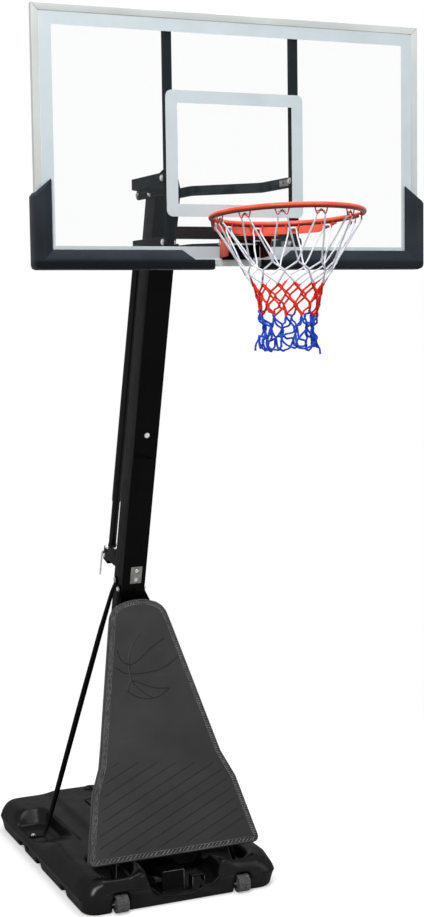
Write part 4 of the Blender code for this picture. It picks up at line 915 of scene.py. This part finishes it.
for radius, nodes in ((0.006, ("pivot_bolt_upper", "pivot_bolt_lower")),
                      (0.005, ("strut_bolt_side", "strut_bolt_front", "board_bolt_upper_left",
                               "board_bolt_upper_right", "board_bolt_lower_left", "board_bolt_lower_right")),
                      (0.004, ("rim_pin", "jack_bracket_pin"))):
    for node in nodes:
        boltAcross(node, radius)
boltAcross("jack_top_pin", 0.004, look="dullZinc", slot="dull_zinc")
boltAcross("arm_tie", 0.005, look="dullZinc", slot="dull_zinc")
half, gap = poleLook["half"], poleLook["gap"]
reach = half + gap + poleLook["nut"]
hexBolt("pole_joint_bolt", onPole(poleLook["jointBolt"], -reach), onPole(poleLook["jointBolt"], reach), 0.005)
face = -(half + gap + poleLook["plate"] + gap + poleLook["head"])
for label, sign in (("lower", -1), ("upper", 1)):
    spot = poleLook["plateBolts"] + sign * poleLook["plateBoltsApart"]
    hexBolt("plate_bolt_" + label, onPole(spot, face, poleLook["plateBoltX"]),
            onPole(spot, poleLook["shankEnd"], poleLook["plateBoltX"]), 0.004, ends=("start",))
for label in ("left", "right"):
    low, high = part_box("foot_bolt_" + label)
    middle = (low + high) / 2
    hexBolt("foot_bolt_" + label, (middle.x, middle.y, high.z), (middle.x, middle.y, low.z), 0.0045, ends=("start",))
print("bolts made")

# front panel

panelLook = {"slope": math.radians(22.76), "footY": -0.5843, "depth": 0.026, "wall": 0.004, "round": 0.007,
             "channelIn": 0.0075, "channelOut": 0.0215, "channelDeep": 0.0018, "line": 0.0022, "slant": 0.0018,
             "corners": [(0.3515, 0.1675, 0.022), (0.2935, 0.410, 0.03), (0.2490, 0.503, 0.03), (0.130, 0.985, 0.12),
                         (0.118, 1.030, 0.05), (0.104, 1.052, 0.04), (0.082, 1.068, 0.04), (0.050, 1.078, 0.06),
                         (0.018, 1.083, 0.10)]}
cosPanel = math.cos(panelLook["slope"])


def fromPanel(x, high, depth=0.0):
    # high is the height over the floor on the front face, depth goes back into the panel
    slope = panelLook["slope"]
    along = high / cosPanel
    return Vector((x, panelLook["footY"] + along * math.sin(slope) + depth * math.cos(slope),
                   along * cosPanel - depth * math.sin(slope)))


def filletedOutline(inset=0.0, steps=4):
    # right half from the bottom to the top, mirrored, each corner an arc; in plane units (x, along)
    corners = [(x, high / cosPanel, radius) for x, high, radius in panelLook["corners"]]
    corners += [(-x, along, radius) for x, along, radius in corners[::-1]]
    count = len(corners)
    lines = []
    for k in range(count):
        here, after = Vector(corners[k][:2]), Vector(corners[(k + 1) % count][:2])
        way = (after - here).normalized()
        lines.append((here + Vector((-way.y, way.x)) * inset, way))
    outline = []
    for k in range(count):
        (before, wayIn), (after, wayOut) = lines[k - 1], lines[k]
        cross = wayIn.x * wayOut.y - wayIn.y * wayOut.x
        away = after - before
        corner = before + wayIn * ((away.x * wayOut.y - away.y * wayOut.x) / cross)
        radius = max(corners[k][2] + (-inset if cross > 0 else inset), 0.003)
        turn = wayIn.angle(wayOut)
        first = corner - wayIn * (radius * math.tan(turn / 2))
        sign = 1 if cross > 0 else -1
        centre = first + Vector((-wayIn.y, wayIn.x)) * radius * sign
        start = first - centre
        for n in range(steps + 1):
            swing = sign * turn * n / steps
            outline.append(centre + Vector((start.x * math.cos(swing) - start.y * math.sin(swing),
                                            start.x * math.sin(swing) + start.y * math.cos(swing))))
    return outline


def planePoint(pair, depth):
    return fromPanel(pair[0], pair[1] * cosPanel, depth)


def makePanel():
    # rings of the outline at growing inset, from the hollow's floor over the rim to the face inside the channel
    wall, deep, soft = panelLook["wall"], panelLook["depth"], panelLook["round"]
    inner, outer, sunk = panelLook["channelIn"], panelLook["channelOut"], panelLook["channelDeep"]
    back = [(wall, deep), (wall, deep * 0.5), (wall, wall + 0.004), (wall + 0.004, wall)]
    front = [(outer + 0.0030, 0.0), (outer + 0.0018, -0.0006), (outer + 0.0006, 0.0), (outer, sunk), (inner, sunk),
             (inner - 0.0006, 0.0), (inner - 0.0014, 0.0)]
    front += [(soft * (1 - math.sin(math.radians(turn))) * 0.86, soft * (1 - math.cos(math.radians(turn))) * 0.86)
              for turn in (25, 50, 75, 90)]
    front += [(0.0, deep * 0.55), (0.0, deep - 0.001), (0.001, deep)]
    shape = bmesh.new()
    loops = [[shape.verts.new(planePoint(point, depth)) for point in filletedOutline(inset)]
             for inset, depth in back + front]
    size = len(loops[0])
    sequence = [len(back) - 1 - k for k in range(len(back))]
    sequence += [len(back) + len(front) - 1 - k for k in range(len(front))]
    for near, far in zip(sequence, sequence[1:]):
        for k in range(size):
            after = (k + 1) % size
            shape.faces.new((loops[near][k], loops[near][after], loops[far][after], loops[far][k]))
    for ends in (loops[sequence[0]], loops[sequence[-1]]):
        for k in range(size // 2 - 1):
            shape.faces.new((ends[k], ends[k + 1], ends[size - 2 - k], ends[size - 1 - k]))
    return fromShape("front_panel_look", shape)


panel = makePanel()


def faceAt(u, v):
    # the point of the panel's front face seen at a place in the photograph
    forward, across, below = shotAxes()
    middleU, middleV = shot["middle"]
    ray = forward + across * (u - middleU) / shot["focal"] + below * (v - middleV) / shot["focal"]
    slant = math.tan(panelLook["slope"])
    eye = Vector(shot["place"])
    # the face is y = footY + slant * z
    reach = (panelLook["footY"] + slant * eye.z - eye.y) / (ray.y - slant * ray.z)
    spot = eye + ray * reach
    return spot.x, spot.z


ballLines = [[(141, 633), (133, 643), (129, 655), (129, 666), (131, 678), (128, 691)],
             [(117, 650), (121, 660), (129, 665), (138, 661), (150, 649), (164, 638)],
             [(116, 668), (124, 673), (137, 674), (155, 671), (168, 665), (178, 656)],
             [(131, 680), (142, 684), (156, 688), (169, 688)],
             [(131, 680), (138, 688), (147, 695), (153, 698)],
             [(127, 691), (137, 697), (148, 699), (160, 696), (169, 688)]]
panelBall = [[faceAt(u, v) for u, v in line] for line in ballLines]


def insidePanel(x, high, margin):
    outline = filletedOutline(margin, 4)
    along = high / cosPanel
    inside = False
    for a, b in zip(outline, outline[1:] + outline[:1]):
        if (a.y > along) != (b.y > along) and x < (b.x - a.x) * (along - a.y) / (b.y - a.y) + a.x:
            inside = not inside
    return inside


def trimmedSlants():
    # the slanting grooves below the ball, cut off inside the border; places in the photograph
    made = []
    for k in range(13):
        low = 768 + 12.4 * k
        spots = []
        for n in range(61):
            u = 92 + n * 2.7
            v = low - (u - 92) * 0.66
            x, high = faceAt(u, v)
            if v > 762 and insidePanel(x, high, 0.034):
                spots.append((x, high))
        if len(spots) > 3:
            made.append((*spots[0], *spots[-1]))
    return made


def grooveCutters():
    # ball lines and slanting grooves, as thin tubes sunk into the face
    cutters = []

    def curve(name, spots, radius, deep=0.0008):
        points = []
        for k in range(len(spots) - 1):
            before = Vector(spots[max(k - 1, 0)])
            first, second = Vector(spots[k]), Vector(spots[k + 1])
            after = Vector(spots[min(k + 2, len(spots) - 1)])
            for n in range(6):
                t = n / 6
                points.append(0.5 * ((2 * first) + (second - before) * t
                                     + (2 * before - 5 * first + 4 * second - after) * t * t
                                     + (3 * first - before - 3 * second + after) * t ** 3))
        points.append(Vector(spots[-1]))
        cutters.append(tube(name, [fromPanel(x, high, deep) for x, high in points], radius, 8))

    for spots in panelBall:
        curve("line", spots, panelLook["line"])
    for x0, high0, x1, high1 in trimmedSlants():
        curve("slant", [(x0, high0), ((x0 + x1) / 2, (high0 + high1) / 2), (x1, high1)], panelLook["slant"])
    return cutters


carve(panel, grooveCutters())
smoothByAngle(panel, 28)
place(panel, "panelPlastic", "stand", ["front_panel"])

# pitch, slant and half width of the ribs on the left side, along the bottom, and on the right side and the top
stitchLook = {"left": (0.0240, 0.0620, 0.0008), "bottom": (0.0165, 0.0140, 0.0012), "rest": (0.0070, 0.0035, 0.0012),
              "base": 0.0004, "top": -0.0004, "margin": 0.0008}


def makeStitch():
    # slanted ribs along the border channel, pale as a painted highlight on their tops
    middle = (panelLook["channelIn"] + panelLook["channelOut"]) / 2
    track = filletedOutline(middle, 6)
    lengths = [0.0]
    count = len(track)
    for k in range(count):
        lengths.append(lengths[-1] + (track[(k + 1) % count] - track[k]).length)
    total = lengths[-1]

    def at(distance):
        distance %= total
        for k in range(count):
            if distance <= lengths[k + 1]:
                a, b = track[k], track[(k + 1) % count]
                share = (distance - lengths[k]) / max(lengths[k + 1] - lengths[k], 1e-9)
                return a + (b - a) * share, (b - a).normalized()
        return track[0], (track[1] - track[0]).normalized()

    distance = 0.0
    reach = (panelLook["channelOut"] - panelLook["channelIn"]) / 2 - stitchLook["margin"]
    shape = bmesh.new()
    while distance < total:
        spot, way = at(distance)
        onLeft = spot.x < -0.09 and abs(way.x) < 0.6 * abs(way.y)
        pitch, slant, thick = stitchLook["left" if onLeft else "bottom" if spot.y < 0.20 else "rest"]
        inward = Vector((-way.y, way.x))
        first = spot - inward * reach - way * slant * 0.5
        second = spot + inward * reach + way * slant * 0.5
        along = (second - first).normalized()
        wide = Vector((-along.y, along.x)) * thick
        rim = [first - wide, second - wide, second + wide, first + wide]
        crest = [first + (second - first) * 0.06, second - (second - first) * 0.06]
        low = [shape.verts.new(planePoint(point, panelLook["channelDeep"] + stitchLook["base"])) for point in rim]
        high = [shape.verts.new(planePoint(point, stitchLook["top"])) for point in crest]
        shape.faces.new((low[3], low[2], low[1], low[0]))
        shape.faces.new((low[0], low[1], high[1], high[0]))
        shape.faces.new((low[2], low[3], high[0], high[1]))
        shape.faces.new((low[1], low[2], high[1]))
        shape.faces.new((low[3], low[0], high[0]))
        distance += pitch
    place(fromShape("panel_stitch", shape), "stitchHighlight", "stand")


makeStitch()

beadLook = {"proud": -0.0002, "border": ((0.0042, 0.0008), (0.0074, 0.0006), (0.0218, 0.0009)), "aside": 0.0026,
            "foot": ((131, 680), (128, 685), (127, 691)), "slot": (143.5, 601.2), "slotReach": (7.2, 1.9)}


def makeBeads():
    # thin raised lines, pale as painted highlights, that edge the border channel, the ball's seam and the top slot's
    # ring; the line beside the ball's seam is a painted highlight on its edge
    lines = []
    proud = beadLook["proud"]
    for inset, radius in beadLook["border"]:
        track = [planePoint(point, proud) for point in filletedOutline(inset, 4)]
        lines.append(tube("bead", track, radius, 6, closed=True))
    for first, second in ((0, 3), (3, 5)):
        track = [fromPanel(x - beadLook["aside"], high, proud) for x, high in panelBall[0][first:second + 1]]
        lines.append(tube("bead", track, 0.0008, 6))
    foot = [faceAt(u, v) for u, v in beadLook["foot"]]
    lines.append(tube("bead", [fromPanel(x, high, proud) for x, high in foot], 0.0010, 6))
    (middleU, middleV), (reachU, reachV) = beadLook["slot"], beadLook["slotReach"]
    slot = []
    for n in range(32):
        turn = 2 * math.pi * n / 32
        x, high = faceAt(middleU + reachU * math.cos(turn), middleV + reachV * math.sin(turn))
        slot.append(fromPanel(x, high, proud))
    lines.append(tube("bead", slot, 0.0008, 6, closed=True))
    place(smoothAll(joined("panel_bead_highlights", lines)), "beadHighlight", "stand")


makeBeads()
print("front panel made")

# lift arms and jack

armLook = {"near": -0.620, "far": -0.810, "bend": 0.014, "edge": 0.0012, "face": 0.2387, "plate": 0.2362,
           "eye": (0.2300, 0.2383, 0.0052), "disc": (0.2371, 0.2386, 0.0050), "ring": (0.0076, 0.0009)}
# name, body, low and high corner, and eye of the plates on the right-hand arms, as (y, z)
armPlates = [("arm_plate_upper", "upper_arms", (-1.040, 2.6325), (-0.970, 2.6540), (-0.998, 2.6450)),
             ("arm_plate_lower", "lower_arms", (-1.040, 2.4270), (-0.980, 2.4475), (-1.005, 2.4385))]


def makeArm(node):
    piece = cadCopy(node, node + "_look")

    def bendEdge(first, second):
        upright = abs((second - first).normalized().z) > 0.95 and (second - first).length > 0.02
        return upright and min(abs(first.y - armLook["near"]), abs(first.y - armLook["far"])) < 0.006

    if editPick(piece, bendEdge, "EDGE"):
        bpy.ops.mesh.bevel(offset=armLook["bend"], segments=5, profile=0.5, affect="EDGES")
    editEnd()
    worn(piece, armLook["edge"], 2, 50, 35)
    # painted light and shade: a lighter finish on the right-hand arms, a darker one on the left-hand arms
    place(piece, "armShade" if node.endswith("left") else "armLit", bodyOf[node], [node])


for node in ("arm_upper_left", "arm_upper_right", "arm_lower_left", "arm_lower_right"):
    makeArm(node)


def makeArmPlates():
    # a small plate with an eye on the inner face of each right-hand arm
    # each rod is (start, end, radius) along x
    face, front = armLook["face"], armLook["plate"]
    radius, wire = armLook["ring"]

    def rodAlong(key, eye, name):
        start, end, wide = armLook[key]
        return rodAt((start, *eye), (end, *eye), wide, 20, name)

    for name, body, low, high, eye in armPlates:
        plate = boxAt((front, *low), (face, *high), name)
        carve(plate, [rodAlong("eye", eye, "eye")])
        bevelled(plate, 0.0006, 2, 40)
        points = [Vector((front, eye[0] + radius * math.cos(2 * math.pi * n / 24),
                          eye[1] + radius * math.sin(2 * math.pi * n / 24))) for n in range(24)]
        plate = joined(name, [plate, tube("ring", points, wire, 6, closed=True)])
        place(smoothByAngle(plate, 40), "dullZinc", body)
        place(rodAlong("disc", eye, name + "_eye"), "blackCoat", body)


strutHighlight = {"foot": (0.2455, -0.476, 0.098), "axis": (-0.1766, 0.3798, 0.9081), "proud": -0.0085, "long": 0.085,
             "aside": ((-1, 0.0105), (1, -0.004)), "radius": 0.0020}


def makeStrutHighlights():
    # a painted highlight: a pale rod low on each front strut stands in for the light it catches
    for side, aside in strutHighlight["aside"]:
        foot, axis = (Vector(strutHighlight[key]) * Vector((side, 1, 1)) for key in ("foot", "axis"))
        foot += Vector((aside, strutHighlight["proud"], 0))
        seam = tube("strut_highlight", [foot, foot + axis * strutHighlight["long"]], strutHighlight["radius"], 8)
        place(smoothAll(seam), "edgeHighlight", "stand")


makeArmPlates()
makeStrutHighlights()
softened("jack_gearbox", "blackCoat", 0.003, 3)
for node, look, slot in (("jack_thin_tube", "jackCoat", "jack_black"), ("jack_thick_tube", "jackCoat", "jack_black"),
                         ("jack_flange", "bareZinc", "zinc"), ("crank_handle", "bareZinc", "zinc")):
    rounded(node, look)
print("arms and jack made")

# backboard

boardLook = {"face": -1.132, "low": 2.3585, "high": 3.1655, "half": 0.685, "rail": 0.023, "gap": 0.0005,
             "band": 0.040, "ink": 0.00035, "targetX": 0.245, "targetLow": 2.5175, "targetHigh": 2.920,
             "targetBand": 0.0405, "targetCorner": 0.022}


def makePrint(name, lowX, lowZ, highX, highZ, band, corner=0.0):
    # a printed band: a plane with its corners rounded, inset, its middle taken out, and given the ink's thickness
    piece = added(bpy.ops.mesh.primitive_plane_add, name, size=1, rotation=(math.radians(90), 0, 0),
                  location=((lowX + highX) / 2, boardLook["face"] - 0.0001, (lowZ + highZ) / 2))
    piece.scale = (highX - lowX, highZ - lowZ, 1)
    editAll(settle(piece))
    insetFaces((band, 0))
    bpy.ops.mesh.delete(type="FACE")
    if corner:
        editEnd()
        editStart(piece, "VERT")
        for vert in piece.data.vertices:
            vert.select = abs(abs(vert.co.x) - highX) < 0.001
        setEdit()
        bpy.ops.mesh.bevel(offset=corner, segments=8, affect="VERTICES")
    bpy.ops.mesh.select_all(action="SELECT")
    bpy.ops.mesh.extrude_region_move(TRANSFORM_OT_translate={"value": (0, -boardLook["ink"], 0)})
    bpy.ops.mesh.select_all(action="SELECT")
    bpy.ops.mesh.normals_make_consistent(inside=False)
    editEnd()
    piece.data.name = name
    return place(piece, "printInk", "backboard")


edge = boardLook["half"] - boardLook["rail"] - boardLook["gap"]
makePrint("border_print", -edge, boardLook["low"] + boardLook["rail"] + boardLook["gap"], edge,
          boardLook["high"] - boardLook["rail"] - boardLook["gap"], boardLook["band"])
makePrint("target_print", -boardLook["targetX"], boardLook["targetLow"], boardLook["targetX"],
          boardLook["targetHigh"], boardLook["targetBand"], boardLook["targetCorner"])
sheet = frame["nodes"]["board_sheet"]
sheet.data.materials.clear()
sheet.data.materials.append(finishes["clearAcrylic"])
for label in ("top", "bottom", "left", "right"):
    softened("rail_" + label, "railMetal", 0.0016, 3)
for label in ("left", "right"):
    softened("brace_" + label, "braceCoat", 0.0012, 2, 40)
    pad = softened("corner_pad_" + label, "padRubber", 0.0036, 4, 20, 60)
softened("crossbar", "brownCoat", 0.002)
softened("rim_mount", "darkBrown", 0.0012)
print("backboard made")

# rim and net

rimLook = {"pin": (0, -1.170, 2.430), "tilt": math.radians(3.86), "reach": 0.3451, "rise": 0.0487,
           "radius": 0.233, "rod": 0.009, "hooks": 12, "hookWire": 0.0021, "hookWide": 0.044, "hookDrop": 0.020,
           "hookKink": 0.008, "hookRoot": 0.005, "hookInset": 0.0075, "stripTall": 0.024, "stripThick": 0.005,
           "stripSweep": math.radians(68), "stripTip": 0.12, "stripTaper": 7.0}
# half of a hook, as (share of its width, root, shares of its drop and of its kink)
hookMarks = [(0.50, 0.002, 0, 0), (0.44, 0, 0.35, 0), (0.36, 0, 0.85, 0), (0.29, 0, 1, 0), (0.21, 0, 0.88, 0),
             (0.07, 0, 0, 1.05)]
tip = Matrix.Translation(rimLook["pin"]) @ Matrix.Rotation(-rimLook["tilt"], 4, "X")
ringCentre = Vector((0, -rimLook["reach"], rimLook["rise"]))


def hookAxes(k):
    # the outward and sideways directions at a hook
    out = towards(2 * math.pi * k / rimLook["hooks"])
    return out, sideways(out)


def makeRing():
    ring = added(bpy.ops.mesh.primitive_torus_add, "ring", major_radius=rimLook["radius"],
                 minor_radius=rimLook["rod"], major_segments=120, minor_segments=20)
    ring.matrix_world = tip @ Matrix.Translation(ringCentre)
    parts = [settle(ring)]
    root, drop, kink = -rimLook["hookRoot"], rimLook["hookDrop"], rimLook["hookKink"]
    half = [(share, root + lift - drop * low - kink * bend) for share, lift, low, bend in hookMarks]
    spots = [(-share, low) for share, low in half] + [(0.0, root - kink * 0.8)] + half[::-1]
    for k in range(rimLook["hooks"]):
        ray, tangent = hookAxes(k)
        anchor = ringCentre + ray * (rimLook["radius"] - rimLook["hookInset"])
        points = [tip @ (anchor + tangent * rimLook["hookWide"] * part + Vector((0, 0, low))) for part, low in spots]
        parts.append(tube("hook", points, rimLook["hookWire"], 8))
    ring = smoothByAngle(joined("rim_ring_look", parts), 50)
    place(ring, "ringCoat", "rim", ["rim_ring"])


def makeStrip():
    # a flat bar spun round the ring's axis, its ends tapered
    tall, thick, sweep = rimLook["stripTall"], rimLook["stripThick"], rimLook["stripSweep"]
    top = rimLook["rise"] - rimLook["rod"] - 0.0003
    start = math.radians(90) - sweep
    strip = added(bpy.ops.mesh.primitive_plane_add, "rim_strip_look", size=1, rotation=(math.radians(90), 0, 0))
    strip.scale = (thick, tall, 1)
    strip.location = (rimLook["radius"], 0, 0)
    editAll(settle(strip))
    bpy.ops.mesh.spin(steps=56, angle=2 * sweep, center=(0, 0, 0), axis=(0, 0, 1), dupli=False)
    bpy.ops.mesh.select_all(action="SELECT")
    bpy.ops.mesh.remove_doubles(threshold=0.00001)
    bpy.ops.mesh.normals_make_consistent(inside=False)
    editEnd()
    turns = [math.atan2(vert.co.y, vert.co.x) for vert in strip.data.vertices]
    sign = 1 if max(turns) > 1.0 else -1
    for vert in strip.data.vertices:
        share = sign * math.atan2(vert.co.y, vert.co.x) / (2 * sweep)
        ends = min(share, 1 - share)
        height = tall * min(1.0, rimLook["stripTip"] + max(ends, 0) * rimLook["stripTaper"])
        vert.co.z = tall / 2 - (height if vert.co.z < 0 else 0)
    spun = Matrix.Rotation(start if sign > 0 else start + 2 * sweep, 4, "Z")
    strip.matrix_world = tip @ Matrix.Translation((0, -rimLook["reach"], top - tall / 2)) @ spun
    settle(strip)
    worn(strip, 0.0010, 2, 40, 35)
    place(strip, "rimCoat", "rim", ["rim_strip"])


makeRing()
makeStrip()
carriage = softened("rim_carriage", "rimCoat", 0.0016)
carriage.data.materials.append(finishes["rimShade"])
for face in carriage.data.polygons:
    # the inner faces of the folded cheeks and the underside lie in shadow
    inner = face.center.x * face.normal.x < 0 and abs(face.normal.x) > 0.7 and abs(face.center.x) < 0.0725
    face.material_index = int(inner or face.normal.z < -0.7)

mountLook = {"plate": ((-0.0560, -1.1400, 2.3790), (0.0560, -1.1376, 2.4830)), "bolt": (0.030, -1.1395, 2.3990),
             "shank": 0.0032, "head": 0.0058, "coil": 0.0046, "wire": 0.0009, "long": 0.034,
             "headEnd": 0.0385, "coilFrom": 0.002, "coilLong": 0.031, "turns": 6, "steps": 16}


def makeMountBack():
    # the mount's upright plate and its spring bolt
    plate = worn(boxAt(*mountLook["plate"], "mount_back"), 0.0012)
    place(plate, "darkBrown", "backboard")
    spot, coil, long = Vector(mountLook["bolt"]), mountLook["coil"], mountLook["long"]
    parts = [rodAt(spot, spot + Vector((0, -long, 0)), mountLook["shank"], 20, "shank"),
             rodAt(spot + Vector((0, -long, 0)), spot + Vector((0, -mountLook["headEnd"], 0)), mountLook["head"], 6,
                   "head")]
    points = []
    count = mountLook["turns"] * mountLook["steps"]
    for n in range(count + 1):
        turn = 2 * math.pi * n / mountLook["steps"]
        along = -mountLook["coilFrom"] - mountLook["coilLong"] * n / count
        points.append(spot + Vector((math.cos(turn) * coil, along, math.sin(turn) * coil)))
    parts.append(tube("coil", points, mountLook["wire"], 6))
    spring = smoothByAngle(joined("mount_spring", parts), 35)
    place(spring, "brownCoat", "backboard")


makeMountBack()
print("rim made")

netLook = {"drop": 0.393, "top": -0.0235, "ply": 0.00175, "lay": 0.00130, "twist": 0.018, "radius": 0.0029,
           "levels": [0.0, 0.315, 0.392, 0.481, 0.559, 0.641, 0.730, 0.822, 0.916, 1.0],
           "profile": [(0.0, 0.2235), (0.377, 0.137), (0.481, 0.111), (0.559, 0.100), (0.641, 0.095),
                       (0.82, 0.088), (1.0, 0.092)],
           "knot": [0, 0.0060, 0.0045, 0.0050, 0.0060, 0.0065, 0.0080, 0.0095, 0.0070],
           "crumple": [0, 0.08, 0.12, 0.16, 0.16, 0.20, 0.42, 0.70, 0.75], "slackFrom": 6, "slack": 0.009,
           # the limits of the random shares: of each crossing, and of the hanging loops at the foot
           "spotTurn": (-0.30, 0.30), "spotOut": (-0.024, 0.004), "spotLow": (-0.012, 0.012),
           "footTurn": (-0.08, 0.08), "footLow": (0.000, 0.016), "footOut": (-0.020, 0.0),
           "kneeOut": (0.006, 0.011), "kneeLow": (0.55, 0.75),
           "sway": 0.0016, "loopWide": 0.29, "swell": 0.26, "swellTop": 2.335, "swellDeep": 0.04,
           # how far along the hook, how high and how far inside the first points lie
           "seat": ((-0.2, 0.004, 0.0050), (0.45, 0.005, 0.0050), (0.95, 0.002, 0.0030), (1.06, -0.008, 0.0025)),
           # the direction and foot height of each loose end
           "tails": ((math.radians(154), 2.088), (math.radians(-24), 2.076))}
netAxis = Vector((0, -1.5137, 0))
netRows = len(netLook["levels"]) - 1


def netRadius(share):
    return between(netLook["profile"], share)


def aroundNet(turn, out, height):
    return netAxis + Vector((math.cos(turn) * out, math.sin(turn) * out, height))


def outward(spot):
    return Vector((spot.x - netAxis.x, spot.y - netAxis.y, 0)).normalized()


def netSpots():
    # where the cords cross, row by row, crumpled more towards the bottom
    dice = random.Random(23)
    centre = tip @ ringCentre
    spots = {}
    for level, share in enumerate(netLook["levels"][:-1]):
        radius = netRadius(share)
        rough = netLook["crumple"][level]
        for k in range(rimLook["hooks"]):
            turn = 2 * math.pi * (k + 0.5 * (level % 2)) / rimLook["hooks"] + dice.uniform(*netLook["spotTurn"]) * rough
            out = radius + dice.uniform(*netLook["spotOut"]) * rough
            low = netLook["drop"] * share + dice.uniform(*netLook["spotLow"]) * rough
            tilted = (Matrix.Rotation(-rimLook["tilt"], 3, "X") @ towards(turn)).z
            lift = tilted * rimLook["radius"] * (1 - share) ** 2
            spots[level, k] = aroundNet(turn, out, centre.z + netLook["top"] + lift - low)
    return spots


def smoothRoute(spots, step=0.0035):
    points = []
    for k in range(len(spots) - 1):
        before = spots[max(k - 1, 0)]
        first, second = spots[k], spots[k + 1]
        after = spots[min(k + 2, len(spots) - 1)]
        span = (second - first).length
        count = max(2, int(span / step))
        enter = (second - before) / max((second - before).length, 1e-6) * span * 0.7
        leave = (after - first) / max((after - first).length, 1e-6) * span * 0.7
        for n in range(count):
            t = n / count
            points.append(first * (2 * t ** 3 - 3 * t ** 2 + 1) + enter * (t ** 3 - 2 * t ** 2 + t)
                          + second * (3 * t ** 2 - 2 * t ** 3) + leave * (t ** 3 - t ** 2))
    points.append(spots[-1])
    return points


def plies(shape, points, phase, sides=5, uneven=0.05):
    # three yarns laid round the cord's line, each a small closed tube
    ply, lay = netLook["ply"], netLook["lay"]
    side = None
    travelled = 0.0
    rings = [[], [], []]
    for k, point in enumerate(points):
        along = (points[min(k + 1, len(points) - 1)] - points[max(k - 1, 0)]).normalized()
        if side is None:
            side = along.cross(Vector((0.3, 0.5, 0.8))).normalized()
        side = (side - along * side.dot(along)).normalized()
        other = along.cross(side)
        if k:
            travelled += (point - points[k - 1]).length
        swell = 1 + uneven * (math.sin(travelled * 61 + phase * 3) + math.sin(travelled * 143 + phase))
        swell *= 1 + netLook["swell"] * clamped((netLook["swellTop"] - point.z) / netLook["swellDeep"])
        for n in range(3):
            turn = phase + 2 * math.pi * (travelled / netLook["twist"] + n / 3)
            centre = point + (side * math.cos(turn) + other * math.sin(turn)) * lay * swell
            rings[n].append([shape.verts.new(centre + (side * math.cos(2 * math.pi * m / sides)
                                                       + other * math.sin(2 * math.pi * m / sides)) * ply * swell)
                             for m in range(sides)])
    for strand in rings:
        for near, far in zip(strand, strand[1:]):
            for m in range(sides):
                after = (m + 1) % sides
                shape.faces.new((near[m], near[after], far[after], far[m]))
        shape.faces.new(strand[0][::-1])
        shape.faces.new(strand[-1])


def strandRoute(k, way, spots, dice):
    # one leg of a hook's loop, from over the hook's middle down to half of a hanging loop
    count = rimLook["hooks"]
    part = netLook["loopWide"] * rimLook["hookWide"]
    ray, tangent = hookAxes(k)
    seat = ringCentre + ray * (rimLook["radius"] - rimLook["hookInset"])
    level = -rimLook["hookRoot"] - rimLook["hookDrop"] + rimLook["hookWire"] + netLook["ply"] * 1.6
    route = []
    for along, rise, inside in netLook["seat"]:
        spot = seat + tangent * part * way * along + Vector((0, 0, level + rise)) - ray * inside
        route.append(tip @ spot)
    for row in range(1, netRows):
        spot = spots[row, (k + row // 2 if way > 0 else k - (row + 1) // 2) % count]
        out = outward(spot)
        across = sideways(out)
        tall = netLook["knot"][row]
        aside = netLook["radius"] * 0.85
        over = netLook["radius"] * 0.75 * (1 if (row + (way > 0)) % 2 else -1)
        share = netLook["levels"][row]
        lean = (netRadius(share - 0.03) - netRadius(share + 0.03)) / (0.06 * netLook["drop"])
        rise = (out * lean + Vector((0, 0, 1))) * tall
        top = spot - across * way * aside + rise
        if row == 1:
            start = route[-1]
            for share in (0.10, 0.5, 0.9):
                sway = Vector((dice.uniform(-1, 1), dice.uniform(-1, 1), 0)) * netLook["sway"]
                route.append(start.lerp(top, share) + sway)
        elif row >= netLook["slackFrom"]:
            slack = Vector((dice.uniform(-1, 1), dice.uniform(-1, 1), dice.uniform(-1, 0.4))) * netLook["slack"]
            route.append(route[-1].lerp(top, 0.5) + slack)
        route += [top, spot + out * over, spot + across * way * aside - rise]
    return route


def makeNet():
    spots = netSpots()
    count = rimLook["hooks"]
    shape = bmesh.new()
    dice = random.Random(11)
    ends = {}
    floor = (tip @ ringCentre).z + netLook["top"] - netLook["drop"]
    for k in range(count):
        for way in (-1, 1):
            route = strandRoute(k, way, spots, dice)
            column = (k + netRows // 2 if way > 0 else k - (netRows + 1) // 2) % count
            ends.setdefault(column, []).append((way, route))
    for column, pair in sorted(ends.items()):
        # the two legs that meet here share one hanging loop
        turn = 2 * math.pi * (column + 0.5 * (netRows % 2)) / count + dice.uniform(*netLook["footTurn"])
        low = floor + dice.uniform(*netLook["footLow"])
        foot = aroundNet(turn, netRadius(1.0) + dice.uniform(*netLook["footOut"]), low)
        out = outward(foot)
        across = sideways(out)
        for way, route in pair:
            last = route[-1]
            knee = last.lerp(foot, 0.55) - across * way * dice.uniform(*netLook["kneeOut"])
            knee.z = last.z + (foot.z - last.z) * dice.uniform(*netLook["kneeLow"])
            route += [knee, foot, foot + across * way * 0.004 + Vector((0, 0, 0.0004))]
            plies(shape, smoothRoute(route), dice.uniform(0, 6))
    for aim, low in netLook["tails"]:
        # a loose end at either side, out of the nearest crossing
        knots = [spots[netRows - 1, k] for k in range(count)]
        knot = max(knots, key=lambda spot: outward(spot).dot(towards(aim)))
        out = outward(knot)
        foot = Vector((knot.x, knot.y, low))
        tail = [knot + Vector((0, 0, 0.012)), knot + out * 0.002, (knot + out * 0.011).lerp(foot + out * 0.011, 0.5),
                foot + out * 0.013]
        plies(shape, smoothRoute(tail), 1.0)
    net = place(smoothAll(fromShape("net_look", shape)), "netCord", "rim", ["net"])
    print("net made:", len(net.data.polygons), "faces")


makeNet()

# close

bpy.context.view_layer.update()
